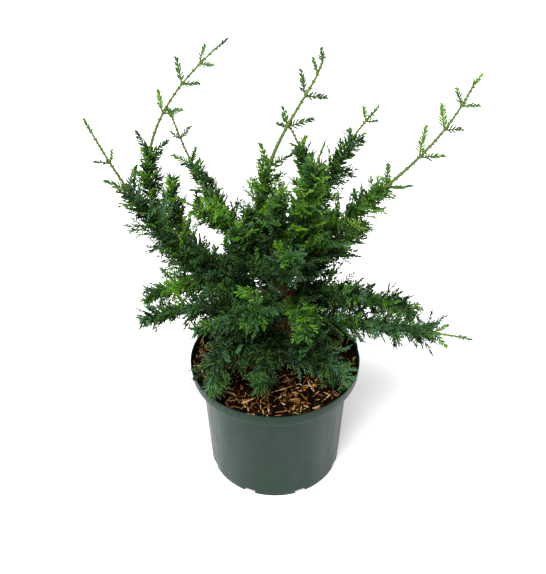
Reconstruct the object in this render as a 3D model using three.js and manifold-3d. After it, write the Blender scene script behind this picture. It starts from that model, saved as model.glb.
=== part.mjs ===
// A young dwarf hinoki cypress standing in its round nursery pot.
//
// Lengths are millimetres, +Z is up, and the origin is the middle of the pot's flat underside.
// Directions are degrees about the upright axis through the origin, from +X towards +Y.
// Heights of the plant are counted from the compost's surface.

import * as THREE from 'three';
import { mergeVertices } from 'three/addons/utils/BufferGeometryUtils.js';
import Module from 'manifold-3d';

// Driving dimensions --------------------------------------------------------------------------

const GAP = 0.3;

const POT_HEIGHT = 148;
const RIM_RADIUS = 95;
const FOOT_RADIUS = 76.5;
const COLLAR_HEIGHT = 15;
const COLLAR_STEP = 11;
const COLLAR_TAPER = 1;
const WALL = 1.6;
const FLOOR = 2.4;
const DRAIN_NOTCHES = 8;
const NOTCH_WIDTH = 13;
const NOTCH_HEIGHT = 5;
const NOTCH_DEPTH = 9;
const ROUND_SIDES = 40;

const SOIL = 142;
const SOIL_LUMP = 1.6;
const LUMP_WAVE = 5.5;
const LUMP_SWEEP = 11;
const SOIL_RINGS = 5;
const FOOT_PATCH = 24;

const TRUNK_FOOT = [9, 12];
const TRUNK_LEAN = [18, 13];
const LEAN_HEIGHT = 48;
const FORK_SPOT = [-3, 15];
const FORK = 134;
const FORK_EASE = 0.4;
const TRUNK_RADIUS = 6.2;
const FORK_RADIUS = 3.0;
const FLARE = 3.2;
const FLARE_HEIGHT = 7;
const TRUNK_SIDES = 10;
const TRUNK_STEPS = 14;

const LIMB_SIDES = 5;
const LIMB_STEPS = 3;
const STEM_SIDES = 3;
const STEM_STEP = 24;
const STEM_TIP_RADIUS = 0.8;

const PLUME_SPACING = 10;
const PLUME_ANGLE = 48;
const SPRIG_SPACING = 1.45;
const SPRIG_ANGLE = 42;
const LONG_SPRIG = 32;
const SHORT_SPRIG = 9;
const LONG_SHOOT = 140;
const STEM_LEAD = 3;
const TIP_SPRAY = 16;
const GOLDEN_ANGLE = 137.5;
const ROLL_JITTER = 30;
const LIGHT_SIDE = [0, -0.8, 0.6];
const ROLL_TRIES = [0, 60, -60, 120, -120];
const ANGLE_JITTER = 16;
const TWIST_JITTER = 90;
const LENGTH_JITTER = 0.15;
const SPRIG_JITTER = 0.35;
const START_SWELL = 0.8;
const START_SHARE = 0.2;
const END_SWELL = 0.42;

const HEART_SHARE = 0.4;
const BACK_SHARE = 0.4;
const FINGERS = 5;
const FINGER_SPREAD = 104;
const NOTCH_SHARE = 0.6;
const ROOT_HALF_ANGLE = 4;
const SPRAY_THICKNESS = 1.6;
const SHORTEST_SPRAY = 10;
const FULL_LENGTH = 40;
const FULL_WIDTH = 0.4;
const SLIM_WIDTH = 0.26;

const SIMPLIFY = 0.1;
const SHRINK_STEPS = [1, 0.8, 0.62];
const BALL_STEP = 2;
const SPACE_MARGIN = 0.9;
const LIMB_MARGIN = 0.9;
const RIM_MARGIN = 2;
const SEED = 7351;

// Each bough leaves the trunk at a rise above the compost, heads for its shoulder, then its
// elbow, and ends at its tip. Each of these is [direction, reach from the pot's axis, height
// above the compost]. `bare` is the share of its length before the foliage, `plume` the length
// of a full plume, `open` the length of the thin shoot at its end, and `girth` its radius at
// the trunk. A bough that bends round a wide gap has two masses of foliage, which meet at the
// share `bend` of its length.
const BOUGHS = [
  { name: 'leader', rise: FORK, shoulder: [151, 52, 243], elbow: [41, 72, 313],
    tip: [31, 50, 358], bare: 0, plume: 42, open: 142, girth: 2.8, tint: 'mid' },
  { name: 'far_left', rise: 45, shoulder: [166, 89, 92], elbow: [177, 138, 189],
    tip: [174, 182, 290], bare: 0.14, plume: 44, open: 85, girth: 2.8, tint: 'blue' },
  { name: 'left_tall', rise: 62, shoulder: [128, 52, 24], elbow: [162, 269, 168],
    tip: [116, 110, 337], bare: 0.14, bend: 0.5, plume: 36, open: 150, girth: 2.8, tint: 'mid' },
  { name: 'left_thin', rise: 106, shoulder: [138, 84, 160], elbow: [131, 138, 181],
    tip: [132, 171, 250], bare: 0.2, plume: 28, open: 70, girth: 2.2, tint: 'dark' },
  { name: 'left_bright', rise: 92, shoulder: [-174, 36, 188], elbow: [-153, 62, 208],
    tip: [-154, 103, 245], bare: 0.16, plume: 30, open: 32, girth: 2.2, tint: 'bright' },
  { name: 'back_centre', rise: 120, shoulder: [61, 53, 164], elbow: [52, 96, 175],
    tip: [85, 96, 256], bare: 0.18, plume: 30, open: 40, girth: 2.2, tint: 'mid' },
  { name: 'centre_bright', rise: 86, shoulder: [17, 43, 165], elbow: [-35, 25, 218],
    tip: [-24, 50, 288], bare: 0.16, plume: 36, open: 35, girth: 2.3, tint: 'bright' },
  { name: 'right_pair', rise: 104, shoulder: [45, 45, 149], elbow: [49, 100, 236],
    tip: [39, 136, 270], bare: 0.15, plume: 36, open: 45, girth: 2.4, tint: 'dark' },
  { name: 'right_long', rise: 68, shoulder: [40, 58, 181], elbow: [-4, 147, 232],
    tip: [3, 184, 341], bare: 0.12, plume: 42, open: 145, girth: 2.8, tint: 'mid' },
  { name: 'right_mid', rise: 57, shoulder: [60, 44, 86], elbow: [44, 94, 108],
    tip: [34, 118, 141], bare: 0.15, plume: 38, open: 0, girth: 2.1, tint: 'dark' },
  { name: 'right_under', rise: 46, shoulder: [38, 40, 96], elbow: [2, 60, 100],
    tip: [-8, 92, 104], bare: 0.17, plume: 36, open: 0, girth: 2, tint: 'dark' },
  { name: 'right_low', rise: 24, shoulder: [-5, 38, 80], elbow: [-9, 115, 66],
    tip: [-7, 211, 55], bare: 0.15, plume: 34, open: 45, girth: 2.5, tint: 'blue' },
  { name: 'right_fan', rise: 38, shoulder: [30, 45, 86], elbow: [15, 120, 74],
    tip: [13, 168, 34], bare: 0.17, plume: 34, open: 15, girth: 2.3, tint: 'mid' },
  { name: 'left_fan', rise: 72, shoulder: [174, 49, 84], elbow: [176, 80, 135],
    tip: [180, 138, 86], bare: 0.17, plume: 32, open: 0, girth: 2.3, tint: 'bright' },
  { name: 'left_low', rise: 26, shoulder: [-150, 38, 82], elbow: [-155, 64, 122],
    tip: [-166, 143, 86], bare: 0.18, plume: 34, open: 0, girth: 2.4, tint: 'dark' },
  { name: 'left_front', rise: 50, shoulder: [-128, 36, 80], elbow: [-140, 66, 94],
    tip: [-146, 99, 92], bare: 0.22, plume: 34, open: 0, girth: 2, tint: 'mid' },
  { name: 'front_left', rise: 20, shoulder: [-135, 50, 55], elbow: [-138, 100, 84],
    tip: [-130, 99, 21], bare: 0.17, plume: 38, open: 0, girth: 2.2, tint: 'blue' },
  { name: 'front_right', rise: 15, shoulder: [-50, 32, 42], elbow: [-40, 72, 50],
    tip: [-37, 98, 25], bare: 0.17, plume: 40, open: 0, girth: 2.2, tint: 'blue' },
  { name: 'front_centre', rise: 35, shoulder: [-98, 28, 52], elbow: [-103, 54, 56],
    tip: [-103, 79, 28], bare: 0.17, plume: 38, open: 0, girth: 2, tint: 'dark' },
  { name: 'front_bright', rise: 60, shoulder: [-40, 38, 98], elbow: [-52, 52, 108],
    tip: [-62, 63, 82], bare: 0.18, plume: 32, open: 0, girth: 2, tint: 'bright' },
  { name: 'front_mid', rise: 84, shoulder: [-105, 32, 100], elbow: [-110, 54, 120],
    tip: [-112, 78, 118], bare: 0.16, plume: 38, open: 0, girth: 2.1, tint: 'mid' },
  { name: 'front_upper', rise: 110, shoulder: [-80, 22, 140], elbow: [-78, 38, 168],
    tip: [-75, 56, 182], bare: 0.16, plume: 34, open: 0, girth: 2.1, tint: 'dark' },
  { name: 'back_left', rise: 84, shoulder: [112, 60, 105], elbow: [126, 93, 89],
    tip: [115, 135, 43], bare: 0.14, plume: 38, open: 0, girth: 2.3, tint: 'dark' },
  { name: 'back_right', rise: 88, shoulder: [59, 56, 101], elbow: [70, 101, 129],
    tip: [62, 143, 103], bare: 0.17, plume: 38, open: 0, girth: 2.3, tint: 'mid' },
  { name: 'back_low', rise: 30, shoulder: [95, 46, 52], elbow: [96, 86, 64],
    tip: [95, 126, 38], bare: 0.2, plume: 36, open: 0, girth: 2.2, tint: 'blue' },
  { name: 'left_short', rise: 78, shoulder: [166, 38, 101], elbow: [169, 120, 133],
    tip: [151, 123, 202], bare: 0.18, plume: 28, open: 0, girth: 2.2, tint: 'dark' },
  { name: 'centre_left', rise: 118, shoulder: [174, 24, 138], elbow: [160, 28, 172],
    tip: [158, 32, 192], bare: 0.2, plume: 28, open: 0, girth: 2, tint: 'dark' },
  { name: 'centre_inner', rise: 124, shoulder: [-29, 12, 157], elbow: [-124, 9, 205],
    tip: [-68, 22, 242], bare: 0.18, plume: 32, open: 20, girth: 2, tint: 'mid' },
];

const finishes = {
  plastic: { color: 0x3c4846, roughness: 0.5, metalness: 0 },
  soil: { color: 0x35241a, roughness: 0.95, metalness: 0 },
  bark: { color: 0x7a4528, roughness: 0.85, metalness: 0 },
  dark: { color: 0x22492b, roughness: 0.7, metalness: 0 },
  mid: { color: 0x356b2b, roughness: 0.7, metalness: 0 },
  blue: { color: 0x3a6459, roughness: 0.7, metalness: 0 },
  bright: { color: 0x568a1e, roughness: 0.7, metalness: 0 },
};
const materials = {};
for (const [name, finish] of Object.entries(finishes)) {
  materials[name] = new THREE.MeshStandardMaterial(finish);
}

// Small helpers -------------------------------------------------------------------------------

const wasm = await Module();
wasm.setup();

const UP = new THREE.Vector3(0, 0, 1);
const AWAY = new THREE.Vector3(0, 1, 0);
const TOWARDS_LIGHT = new THREE.Vector3(...LIGHT_SIDE);
const radians = THREE.MathUtils.degToRad;
const lerp = THREE.MathUtils.lerp;

function place([direction, reach, height]) {
  const angle = radians(direction);
  return new THREE.Vector3(reach * Math.cos(angle), reach * Math.sin(angle), SOIL + height);
}

function randomSource(seed) {
  let state = seed >>> 0;
  return () => {
    state = (state + 0x6d2b79f5) >>> 0;
    let mixed = state;
    mixed = Math.imul(mixed ^ (mixed >>> 15), mixed | 1);
    mixed ^= mixed + Math.imul(mixed ^ (mixed >>> 7), mixed | 61);
    return ((mixed ^ (mixed >>> 14)) >>> 0) / 4294967296;
  };
}

function solidFrom(geometry) {
  geometry.deleteAttribute('normal');
  geometry.deleteAttribute('uv');
  const merged = mergeVertices(geometry, 1e-4);
  return new wasm.Manifold(new wasm.Mesh({
    numProp: 3,
    vertProperties: new Float32Array(merged.attributes.position.array),
    triVerts: new Uint32Array(merged.index.array),
  }));
}

function geometryFrom(solid) {
  const { vertProperties, triVerts } = solid.getMesh();
  const geometry = new THREE.BufferGeometry();
  geometry.setAttribute('position', new THREE.BufferAttribute(vertProperties, 3));
  geometry.setIndex(new THREE.BufferAttribute(triVerts, 1));
  geometry.computeVertexNormals();
  return geometry;
}

function largestBody(solid) {
  const bodies = solid.decompose();
  bodies.sort((a, b) => b.volume() - a.volume());
  return bodies[0];
}

// Sections square to a curve, turned no more than the curve itself turns.
function sectionsAlong(curve, start, end, steps) {
  const across = new THREE.Vector3().crossVectors(curve.getTangentAt(start), AWAY);
  const sections = [];
  for (let step = 0; step <= steps; step++) {
    const share = lerp(start, end, step / steps);
    const along = curve.getTangentAt(share);
    across.addScaledVector(along, -across.dot(along)).normalize();
    const third = new THREE.Vector3().crossVectors(along, across);
    sections.push({ share, spot: curve.getPointAt(share), across: across.clone(), third });
  }
  return sections;
}

// A round limb along a curve from share `start` to share `end` of its length. `radiusAt` gives
// the radius from the length run since the curve's beginning.
function limbSolid(curve, start, end, radiusAt, sides, steps) {
  const length = curve.getLength();
  const sections = sectionsAlong(curve, start, end, steps);
  const geometry = new THREE.CylinderGeometry(1, 1, 1, sides, steps);
  const spots = geometry.attributes.position;
  for (let i = 0; i < spots.count; i++) {
    const section = sections[Math.round((spots.getY(i) + 0.5) * steps)];
    const radius = radiusAt(section.share * length);
    const spot = section.spot.clone();
    spot.addScaledVector(section.third, spots.getX(i) * radius);
    spot.addScaledVector(section.across, spots.getZ(i) * radius);
    spots.setXYZ(i, spot.x, spot.y, spot.z);
  }
  return solidFrom(geometry);
}

// Pot -----------------------------------------------------------------------------------------

const collarFoot = POT_HEIGHT - COLLAR_HEIGHT;
const collarRadius = RIM_RADIUS - COLLAR_TAPER;
const shoulderRadius = collarRadius - COLLAR_STEP;

function potSolid() {
  const profile = [
    [0, 0],
    [FOOT_RADIUS, 0],
    [shoulderRadius, collarFoot],
    [collarRadius, collarFoot],
    [RIM_RADIUS, POT_HEIGHT],
    [RIM_RADIUS - WALL, POT_HEIGHT],
    [collarRadius - WALL, collarFoot + WALL],
    [shoulderRadius - WALL, collarFoot + WALL],
    [FOOT_RADIUS - WALL, FLOOR],
    [0, FLOOR],
  ];
  const points = profile.map(([radius, height]) => new THREE.Vector2(radius, height));
  let pot = solidFrom(new THREE.LatheGeometry(points, ROUND_SIDES).rotateX(Math.PI / 2));
  for (let i = 0; i < DRAIN_NOTCHES; i++) {
    const box = new THREE.BoxGeometry(2 * NOTCH_DEPTH, NOTCH_WIDTH, 2 * NOTCH_HEIGHT);
    box.translate(FOOT_RADIUS, 0, 0);
    box.rotateZ((2 * Math.PI * (i + 0.5)) / DRAIN_NOTCHES);
    pot = pot.subtract(solidFrom(box));
  }
  return pot;
}

// Compost -------------------------------------------------------------------------------------

function soilLump(x, y) {
  const waves = Math.sin(x / LUMP_WAVE + Math.sin(y / LUMP_SWEEP)) +
    Math.sin(y / LUMP_WAVE - x / LUMP_SWEEP);
  const rest = Math.hypot(x - TRUNK_FOOT[0], y - TRUNK_FOOT[1]);
  return 0.5 * SOIL_LUMP * waves * THREE.MathUtils.smoothstep(rest, FOOT_PATCH, 2 * FOOT_PATCH);
}

function soilSolid() {
  const inset = WALL + GAP;
  const topRadius = lerp(collarRadius, RIM_RADIUS, (SOIL - collarFoot) / COLLAR_HEIGHT) - inset;
  const points = [
    new THREE.Vector2(0, FLOOR + GAP),
    new THREE.Vector2(FOOT_RADIUS - inset, FLOOR + GAP),
    new THREE.Vector2(shoulderRadius - inset, collarFoot + inset),
    new THREE.Vector2(collarRadius - inset, collarFoot + inset),
  ];
  for (let ring = SOIL_RINGS; ring >= 0; ring--) {
    points.push(new THREE.Vector2((topRadius * ring) / SOIL_RINGS, SOIL));
  }
  const geometry = new THREE.LatheGeometry(points, ROUND_SIDES).rotateX(Math.PI / 2);
  const spots = geometry.attributes.position;
  for (let i = 0; i < spots.count; i++) {
    if (spots.getZ(i) > SOIL - GAP) {
      spots.setZ(i, SOIL + soilLump(spots.getX(i), spots.getY(i)));
    }
  }
  return solidFrom(geometry);
}

// Trunk and boughs ----------------------------------------------------------------------------

const foot = new THREE.Vector3(...TRUNK_FOOT, SOIL);
const lean = new THREE.Vector3(...TRUNK_LEAN, SOIL + LEAN_HEIGHT);
const fork = new THREE.Vector3(...FORK_SPOT, SOIL + FORK);
const ease = fork.clone().lerp(place(BOUGHS[0].shoulder), -FORK_EASE);
const trunkCurve = new THREE.CubicBezierCurve3(foot, lean, ease, fork);
const trunkLength = trunkCurve.getLength();

function trunkRadius(run) {
  const taper = lerp(TRUNK_RADIUS, FORK_RADIUS, run / trunkLength);
  return taper + FLARE * Math.exp(-run / FLARE_HEIGHT);
}

function trunkSolid(clearance) {
  const whole = limbSolid(
    trunkCurve, 0, 1, (run) => trunkRadius(run) + clearance, TRUNK_SIDES, TRUNK_STEPS);
  return whole.trimByPlane([0, 0, 1], SOIL + GAP);
}

function boughCurve(bough) {
  const root = trunkCurve.getPoint(bough.rise / FORK);
  return new THREE.CubicBezierCurve3(
    root, place(bough.shoulder), place(bough.elbow), place(bough.tip));
}

for (const bough of BOUGHS) {
  bough.curve = boughCurve(bough);
  bough.length = bough.curve.getLength();
  bough.start = bough.bare * bough.length;
  bough.radiusAt = (run) => lerp(bough.girth, STEM_TIP_RADIUS, run / bough.length);
}

// The masses of foliage, each on its own share of its bough's length.
const MASSES = BOUGHS.flatMap((bough) => {
  const { name, bare, bend } = bough;
  if (!bend) {
    return [{ name, bough, from: bare, to: 1 }];
  }
  return [
    { name: `${name}_lower`, bough, from: bare, to: bend },
    { name: `${name}_upper`, bough, from: bend, to: 1 },
  ];
});

// Foliage -------------------------------------------------------------------------------------

// A flat spray: a shallow double cone whose rim is drawn out to pointed fingers round a heart,
// with its root at the origin, its tip on +X and its face towards +Z.
function sprayGeometry(length, halfWidth) {
  const heart = HEART_SHARE * length;
  const outline = [[-180 + ROOT_HALF_ANGLE, heart]];
  let before = null;
  for (let finger = 0; finger < FINGERS; finger++) {
    const angle = lerp(-FINGER_SPREAD, FINGER_SPREAD, finger / (FINGERS - 1));
    const forward = Math.cos(radians(angle));
    const across = Math.sin(radians(angle));
    const ahead = forward > 0 ? forward ** 2 * (length - heart) : -BACK_SHARE * forward * heart;
    const reach = ahead + across ** 2 * halfWidth;
    if (before) {
      outline.push([(angle + before[0]) / 2, (NOTCH_SHARE * (reach + before[1])) / 2]);
    }
    before = [angle, reach];
    outline.push(before);
  }
  outline.push([180 - ROOT_HALF_ANGLE, heart]);
  const sides = outline.length;
  const geometry = new THREE.ConeGeometry(1, 1, sides);
  const spots = geometry.attributes.position;
  for (let i = 0; i < spots.count; i++) {
    const turn = Math.atan2(spots.getX(i), spots.getZ(i)) / (2 * Math.PI);
    const [angle, reach] = outline[Math.round((turn + 1) * sides) % sides];
    if (Math.hypot(spots.getX(i), spots.getZ(i)) > 0.5) {
      spots.setX(i, heart + reach * Math.cos(radians(angle)));
      spots.setY(i, reach * Math.sin(radians(angle)));
      spots.setZ(i, 0);
    } else {
      const face = Math.sign(spots.getY(i));
      spots.setXYZ(i, heart, 0, (face * SPRAY_THICKNESS) / 2);
    }
  }
  return geometry;
}

// The axes that share the space of the crown, as balls strung along each of them.
function ballsAlong(curve, radiusAt, start, end) {
  const length = curve.getLength();
  const count = Math.ceil(((end - start) * length) / BALL_STEP) + 2;
  const balls = [];
  for (let i = 0; i < count; i++) {
    const share = lerp(start, end, i / (count - 1));
    balls.push({ spot: curve.getPointAt(share), radius: radiusAt(share * length) });
  }
  return balls;
}

const trunkBalls = ballsAlong(trunkCurve, trunkRadius, 0, 1);
for (const bough of BOUGHS) {
  bough.limbBalls = ballsAlong(bough.curve, bough.radiusAt, 0, bough.bare);
}
for (const mass of MASSES) {
  const start = mass.from > mass.bough.bare ? mass.from : 0;
  mass.balls = ballsAlong(mass.bough.curve, mass.bough.radiusAt, start, mass.to);
}

function nearest(point, balls) {
  let best = Infinity;
  for (const ball of balls) {
    best = Math.min(best, point.distanceTo(ball.spot) - ball.radius);
  }
  return best;
}

function clearOfPot(point) {
  const out = Math.hypot(point.x, point.y);
  if (point.z > POT_HEIGHT + LIMB_MARGIN) {
    return true;
  }
  return point.z > SOIL + SOIL_LUMP + LIMB_MARGIN && out < RIM_RADIUS - WALL - RIM_MARGIN;
}

// A spot belongs to the mass whose axis is nearest, and stays clear of wood and pot.
function belongs(point, mass) {
  if (!clearOfPot(point) || nearest(point, trunkBalls) < LIMB_MARGIN) {
    return false;
  }
  if (BOUGHS.some((bough) => nearest(point, bough.limbBalls) < LIMB_MARGIN)) {
    return false;
  }
  const needed = Math.max(nearest(point, mass.balls) + SPACE_MARGIN, LIMB_MARGIN);
  return MASSES.every((other) => other === mass || nearest(point, other.balls) > needed);
}

function sprayFits(geometry, mass) {
  const spots = geometry.attributes.position;
  const heart = new THREE.Vector3().fromBufferAttribute(spots, 0);
  for (let i = 0; i < spots.count; i++) {
    const edge = new THREE.Vector3().fromBufferAttribute(spots, i);
    const middle = edge.clone().lerp(heart, 0.5);
    if (!belongs(edge, mass) || !belongs(middle, mass)) {
      return false;
    }
  }
  return true;
}

// A spray set on the stem, shortened until it keeps to its mass's own space.
function seatedSpray(mass, root, direction, face, length) {
  const across = new THREE.Vector3().crossVectors(face, direction).normalize();
  const normal = new THREE.Vector3().crossVectors(direction, across);
  const pose = new THREE.Matrix4().makeBasis(direction, across, normal).setPosition(root);
  for (const shrink of SHRINK_STEPS) {
    const reach = length * shrink;
    if (reach < SHORTEST_SPRAY) {
      return null;
    }
    const slim = lerp(SLIM_WIDTH, FULL_WIDTH, reach / FULL_LENGTH);
    const geometry = sprayGeometry(reach, slim * reach).applyMatrix4(pose);
    if (sprayFits(geometry, mass)) {
      return solidFrom(geometry);
    }
  }
  return null;
}

// Stations run out along the stem: full plumes first, then pairs of sprigs along the open shoot.
function stations(bough) {
  const list = [];
  const fullEnd = bough.length - bough.open;
  let run = bough.start + STEM_LEAD;
  while (run < bough.length - TIP_SPRAY) {
    if (run < fullEnd) {
      const share = (run - bough.start) / (fullEnd - bough.start);
      const opening = lerp(START_SWELL, 1, Math.min(1, share / START_SHARE));
      const reach = bough.plume * opening * lerp(1, END_SWELL, share ** 2);
      list.push({ run, reach, angle: PLUME_ANGLE, flat: false });
      run += PLUME_SPACING;
    } else {
      const toTip = Math.min(1, (bough.length - run) / LONG_SHOOT);
      const reach = lerp(SHORT_SPRIG, LONG_SPRIG, toTip);
      for (const side of [0, 180]) {
        list.push({ run, reach, angle: SPRIG_ANGLE, flat: true, side });
      }
      run += SPRIG_SPACING * reach;
    }
  }
  return list;
}

// The seeded rule: how each station's plume is turned, spread, stretched and twisted. Plumes
// wind round the stem. The sprigs of an open shoot are flat: one of a pair stands off to each
// side, and their faces are turned towards the light.
BOUGHS.forEach((bough, index) => {
  const random = randomSource(SEED + index);
  let roll = 360 * random();
  bough.plumes = stations(bough).map(({ run, reach, angle, flat, side }) => {
    const stray = ROLL_JITTER * (random() - 0.5);
    roll = flat ? side + stray : roll + GOLDEN_ANGLE + stray;
    const spread = radians(angle + ANGLE_JITTER * (random() - 0.5));
    const jitter = flat ? SPRIG_JITTER : LENGTH_JITTER;
    const stretch = lerp(1 - jitter, 1 + jitter, random());
    const twist = radians((flat ? 90 : 0) + TWIST_JITTER * (random() - 0.5));
    return { run, roll, spread, reach: reach * stretch, twist, flat };
  });
});

// A plume on its station, turned round the stem by steps until it finds room.
function plumeSolid(mass, { run, roll, spread, reach, twist, flat }) {
  const { curve, length } = mass.bough;
  const root = curve.getPointAt(run / length);
  const along = curve.getTangentAt(run / length);
  const side = new THREE.Vector3().crossVectors(along, flat ? TOWARDS_LIGHT : UP).normalize();
  for (const turn of ROLL_TRIES) {
    const outward = side.clone().applyAxisAngle(along, radians(roll + turn));
    const direction = along.clone().multiplyScalar(Math.cos(spread));
    direction.addScaledVector(outward, Math.sin(spread)).normalize();
    const face = outward.clone().applyAxisAngle(direction, twist);
    const spray = seatedSpray(mass, root, direction, face, reach);
    if (spray) {
      return spray;
    }
  }
  return null;
}

function tipSolid(mass) {
  const { curve, length } = mass.bough;
  const root = curve.getPointAt(1 - TIP_SPRAY / length);
  const direction = curve.getPointAt(1).sub(root).normalize();
  return seatedSpray(mass, root, direction, UP, TIP_SPRAY);
}

function foliageSolid(mass) {
  const { curve, length, radiusAt, plumes } = mass.bough;
  const start = mass.from + GAP / length;
  const end = mass.to - (mass.to < 1 ? 0 : (TIP_SPRAY - STEM_LEAD) / length);
  const steps = Math.max(3, Math.round(((end - start) * length) / STEM_STEP));
  const pieces = [limbSolid(curve, start, end, radiusAt, STEM_SIDES, steps)];
  for (const plume of plumes) {
    if (plume.run > mass.from * length && plume.run < mass.to * length) {
      pieces.push(plumeSolid(mass, plume));
    }
  }
  if (mass.to === 1) {
    pieces.push(tipSolid(mass));
  }
  const whole = wasm.Manifold.union(pieces.filter(Boolean));
  return largestBody(whole).asOriginal().simplify(SIMPLIFY);
}

// Assembly ------------------------------------------------------------------------------------

const plant = new THREE.Group();

function addPiece(name, solid, material) {
  const mesh = new THREE.Mesh(geometryFrom(solid), material);
  mesh.name = name;
  plant.add(mesh);
}

addPiece('pot', potSolid(), materials.plastic);
addPiece('compost', soilSolid(), materials.soil);
addPiece('trunk', trunkSolid(0), materials.bark);

const seat = trunkSolid(GAP);
for (const bough of BOUGHS) {
  if (bough.bare > 0) {
    const limb = limbSolid(bough.curve, 0, bough.bare, bough.radiusAt, LIMB_SIDES, LIMB_STEPS);
    addPiece(`bough_${bough.name}`, largestBody(limb.subtract(seat)), materials.bark);
  }
}
for (const mass of MASSES) {
  addPiece(`foliage_${mass.name}`, foliageSolid(mass), materials[mass.bough.tint]);
}

export default plant;
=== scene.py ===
# A young dwarf hinoki cypress standing in its round nursery pot.
#
# The plant's rule is written in millimetres, as directions about the pot's axis, reaches from
# it and heights above the compost. Meshes are in metres, with +Z up and the origin in the
# middle of the pot's flat underside.

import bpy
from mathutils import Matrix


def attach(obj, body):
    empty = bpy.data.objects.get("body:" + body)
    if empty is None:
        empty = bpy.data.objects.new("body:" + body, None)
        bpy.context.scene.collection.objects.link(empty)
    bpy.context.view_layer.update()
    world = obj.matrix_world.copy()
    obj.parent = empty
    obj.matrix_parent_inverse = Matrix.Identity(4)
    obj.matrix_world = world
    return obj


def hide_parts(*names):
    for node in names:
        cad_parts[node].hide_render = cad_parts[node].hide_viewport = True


bl_info = {
    "name": "Potted Dwarf Hinoki Cypress",
    "version": (1, 0, 0),
    "blender": (4, 5, 0),
    "location": "View3D > Sidebar > Cypress",
    "description": "Builds a dwarf hinoki cypress with its pot, compost, boughs and sprays",
    "category": "Add Mesh",
}

import math
from collections import namedtuple

import bmesh
import bpy
import numpy as np
from bpy.props import FloatProperty, FloatVectorProperty, IntProperty, PointerProperty
from mathutils import Matrix, Vector, noise

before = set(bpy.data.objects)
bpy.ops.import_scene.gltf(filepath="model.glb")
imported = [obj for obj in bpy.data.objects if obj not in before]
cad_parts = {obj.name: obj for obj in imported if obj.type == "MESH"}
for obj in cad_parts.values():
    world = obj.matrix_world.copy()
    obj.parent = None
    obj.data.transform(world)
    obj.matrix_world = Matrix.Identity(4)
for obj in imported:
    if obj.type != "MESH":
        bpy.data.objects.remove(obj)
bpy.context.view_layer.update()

MM = 0.001

# --- Pot and compost ---

POT_HEIGHT = 148
RIM_RADIUS = 95
FOOT_RADIUS = 76.5
COLLAR_HEIGHT = 15
COLLAR_STEP = 11
COLLAR_TAPER = 1
WALL = 1.6
FLOOR = 2.4
DRAIN_NOTCHES = 8
NOTCH_WIDTH = 13
NOTCH_HEIGHT = 5
NOTCH_DEPTH = 9
NOTCH_ROUNDING = 1.2
POT_STEPS = 128

# The sharpest turns, in degrees, that smooth shading rounds on the pot and on rough things.
CRISP = 30
CRISP_ROUGH = 60

# A ring above the notches, which keeps them from breaking the wall's shading.
BAND = 7

SOIL = 142
SOIL_LUMP = 1.6
LUMP_WAVE = 5.5
LUMP_SWEEP = 11
SOIL_GRAIN = 6
GRAIN_HEIGHT = 0.7
GRAIN_NOISE = (0.8, 2.1, 4)
FOOT_PATCH = 24
SOIL_RINGS = 64

# What is strewn on the compost: its least and most length, width and thickness, how low and
# high it lies, and the shares of it that take each colour.
BARK_TINTS = ("umber", "brown", "rust", "tan", "straw")
SLIVERS = ((4, 19), (0.5, 1.5), (0.3, 0.7)), (-0.2, 1.7), (0.53, 0.17, 0.13, 0.11, 0.06)
CHIPS = ((3, 8), (1.6, 4), (0.5, 1.3)), (-0.3, 0.9), (0.72, 0.17, 0.08, 0.03, 0.0)
CRUMBS = ((0.8, 2.6), (0.8, 2.2), (0.7, 1.8)), (-0.3, 0.8), (0.84, 0.11, 0.04, 0.01, 0.0)
STREWN_TILT = 0.16
SLIVER_SHAPES = 6
SLIVER_BEND = (-1, 1)
SLIVER_LIFT = (0, 1.5)
SLIVER_BLUNT = (0.25, 0.8)
SLIVER_RAGGED = (-0.1, 0.1)
SLIVER_UNEVEN = (-0.06, 0.06)
CHIP_SHAPES = 5
CHIP_BROKEN = (-0.22, 0.22)
CRUMB_SHAPES = 4
CRUMB_LUMPS = (0.7, 1.2)

COLLAR_FOOT = POT_HEIGHT - COLLAR_HEIGHT
COLLAR_RADIUS = RIM_RADIUS - COLLAR_TAPER
SHOULDER_RADIUS = COLLAR_RADIUS - COLLAR_STEP

# --- Trunk and boughs ---

GAP = 0.3
TRUNK_FOOT = (9, 12)
TRUNK_LEAN = (18, 13)
LEAN_HEIGHT = 48
FORK_SPOT = (-3, 15)
FORK = 134
FORK_EASE = 0.4
TRUNK_RADIUS = 6.2
FORK_RADIUS = 3.0
FLARE = 3.2
FLARE_HEIGHT = 7
BUTTRESS = 0.06
STEM_TIP_RADIUS = 0.8
BOUGH_SWELL = 0.9
SWELL_RUN = 6
TRUNK_SIDES = 40
TRUNK_STEPS = 90
BOUGH_SIDES = 10
BOUGH_STEP = 3
TRUNK_GRAIN = 3.7
BOUGH_GRAIN = 10.0

# The bark's ridges and the flakes on them: how fine they are round a limb, how long along it,
# and the girth from which they stand at their full height.
RIDGE_FINENESS = 2.4
RIDGE_RUN = 16
RIDGE_SCALE = 1.6
RIDGE_NOISE = (0.9, 2.2, 3)
FLAKE_FINENESS = 3
FLAKE_RUN = 5
FLAKE_SHARE = 0.5
FULL_GIRTH = 5

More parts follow.
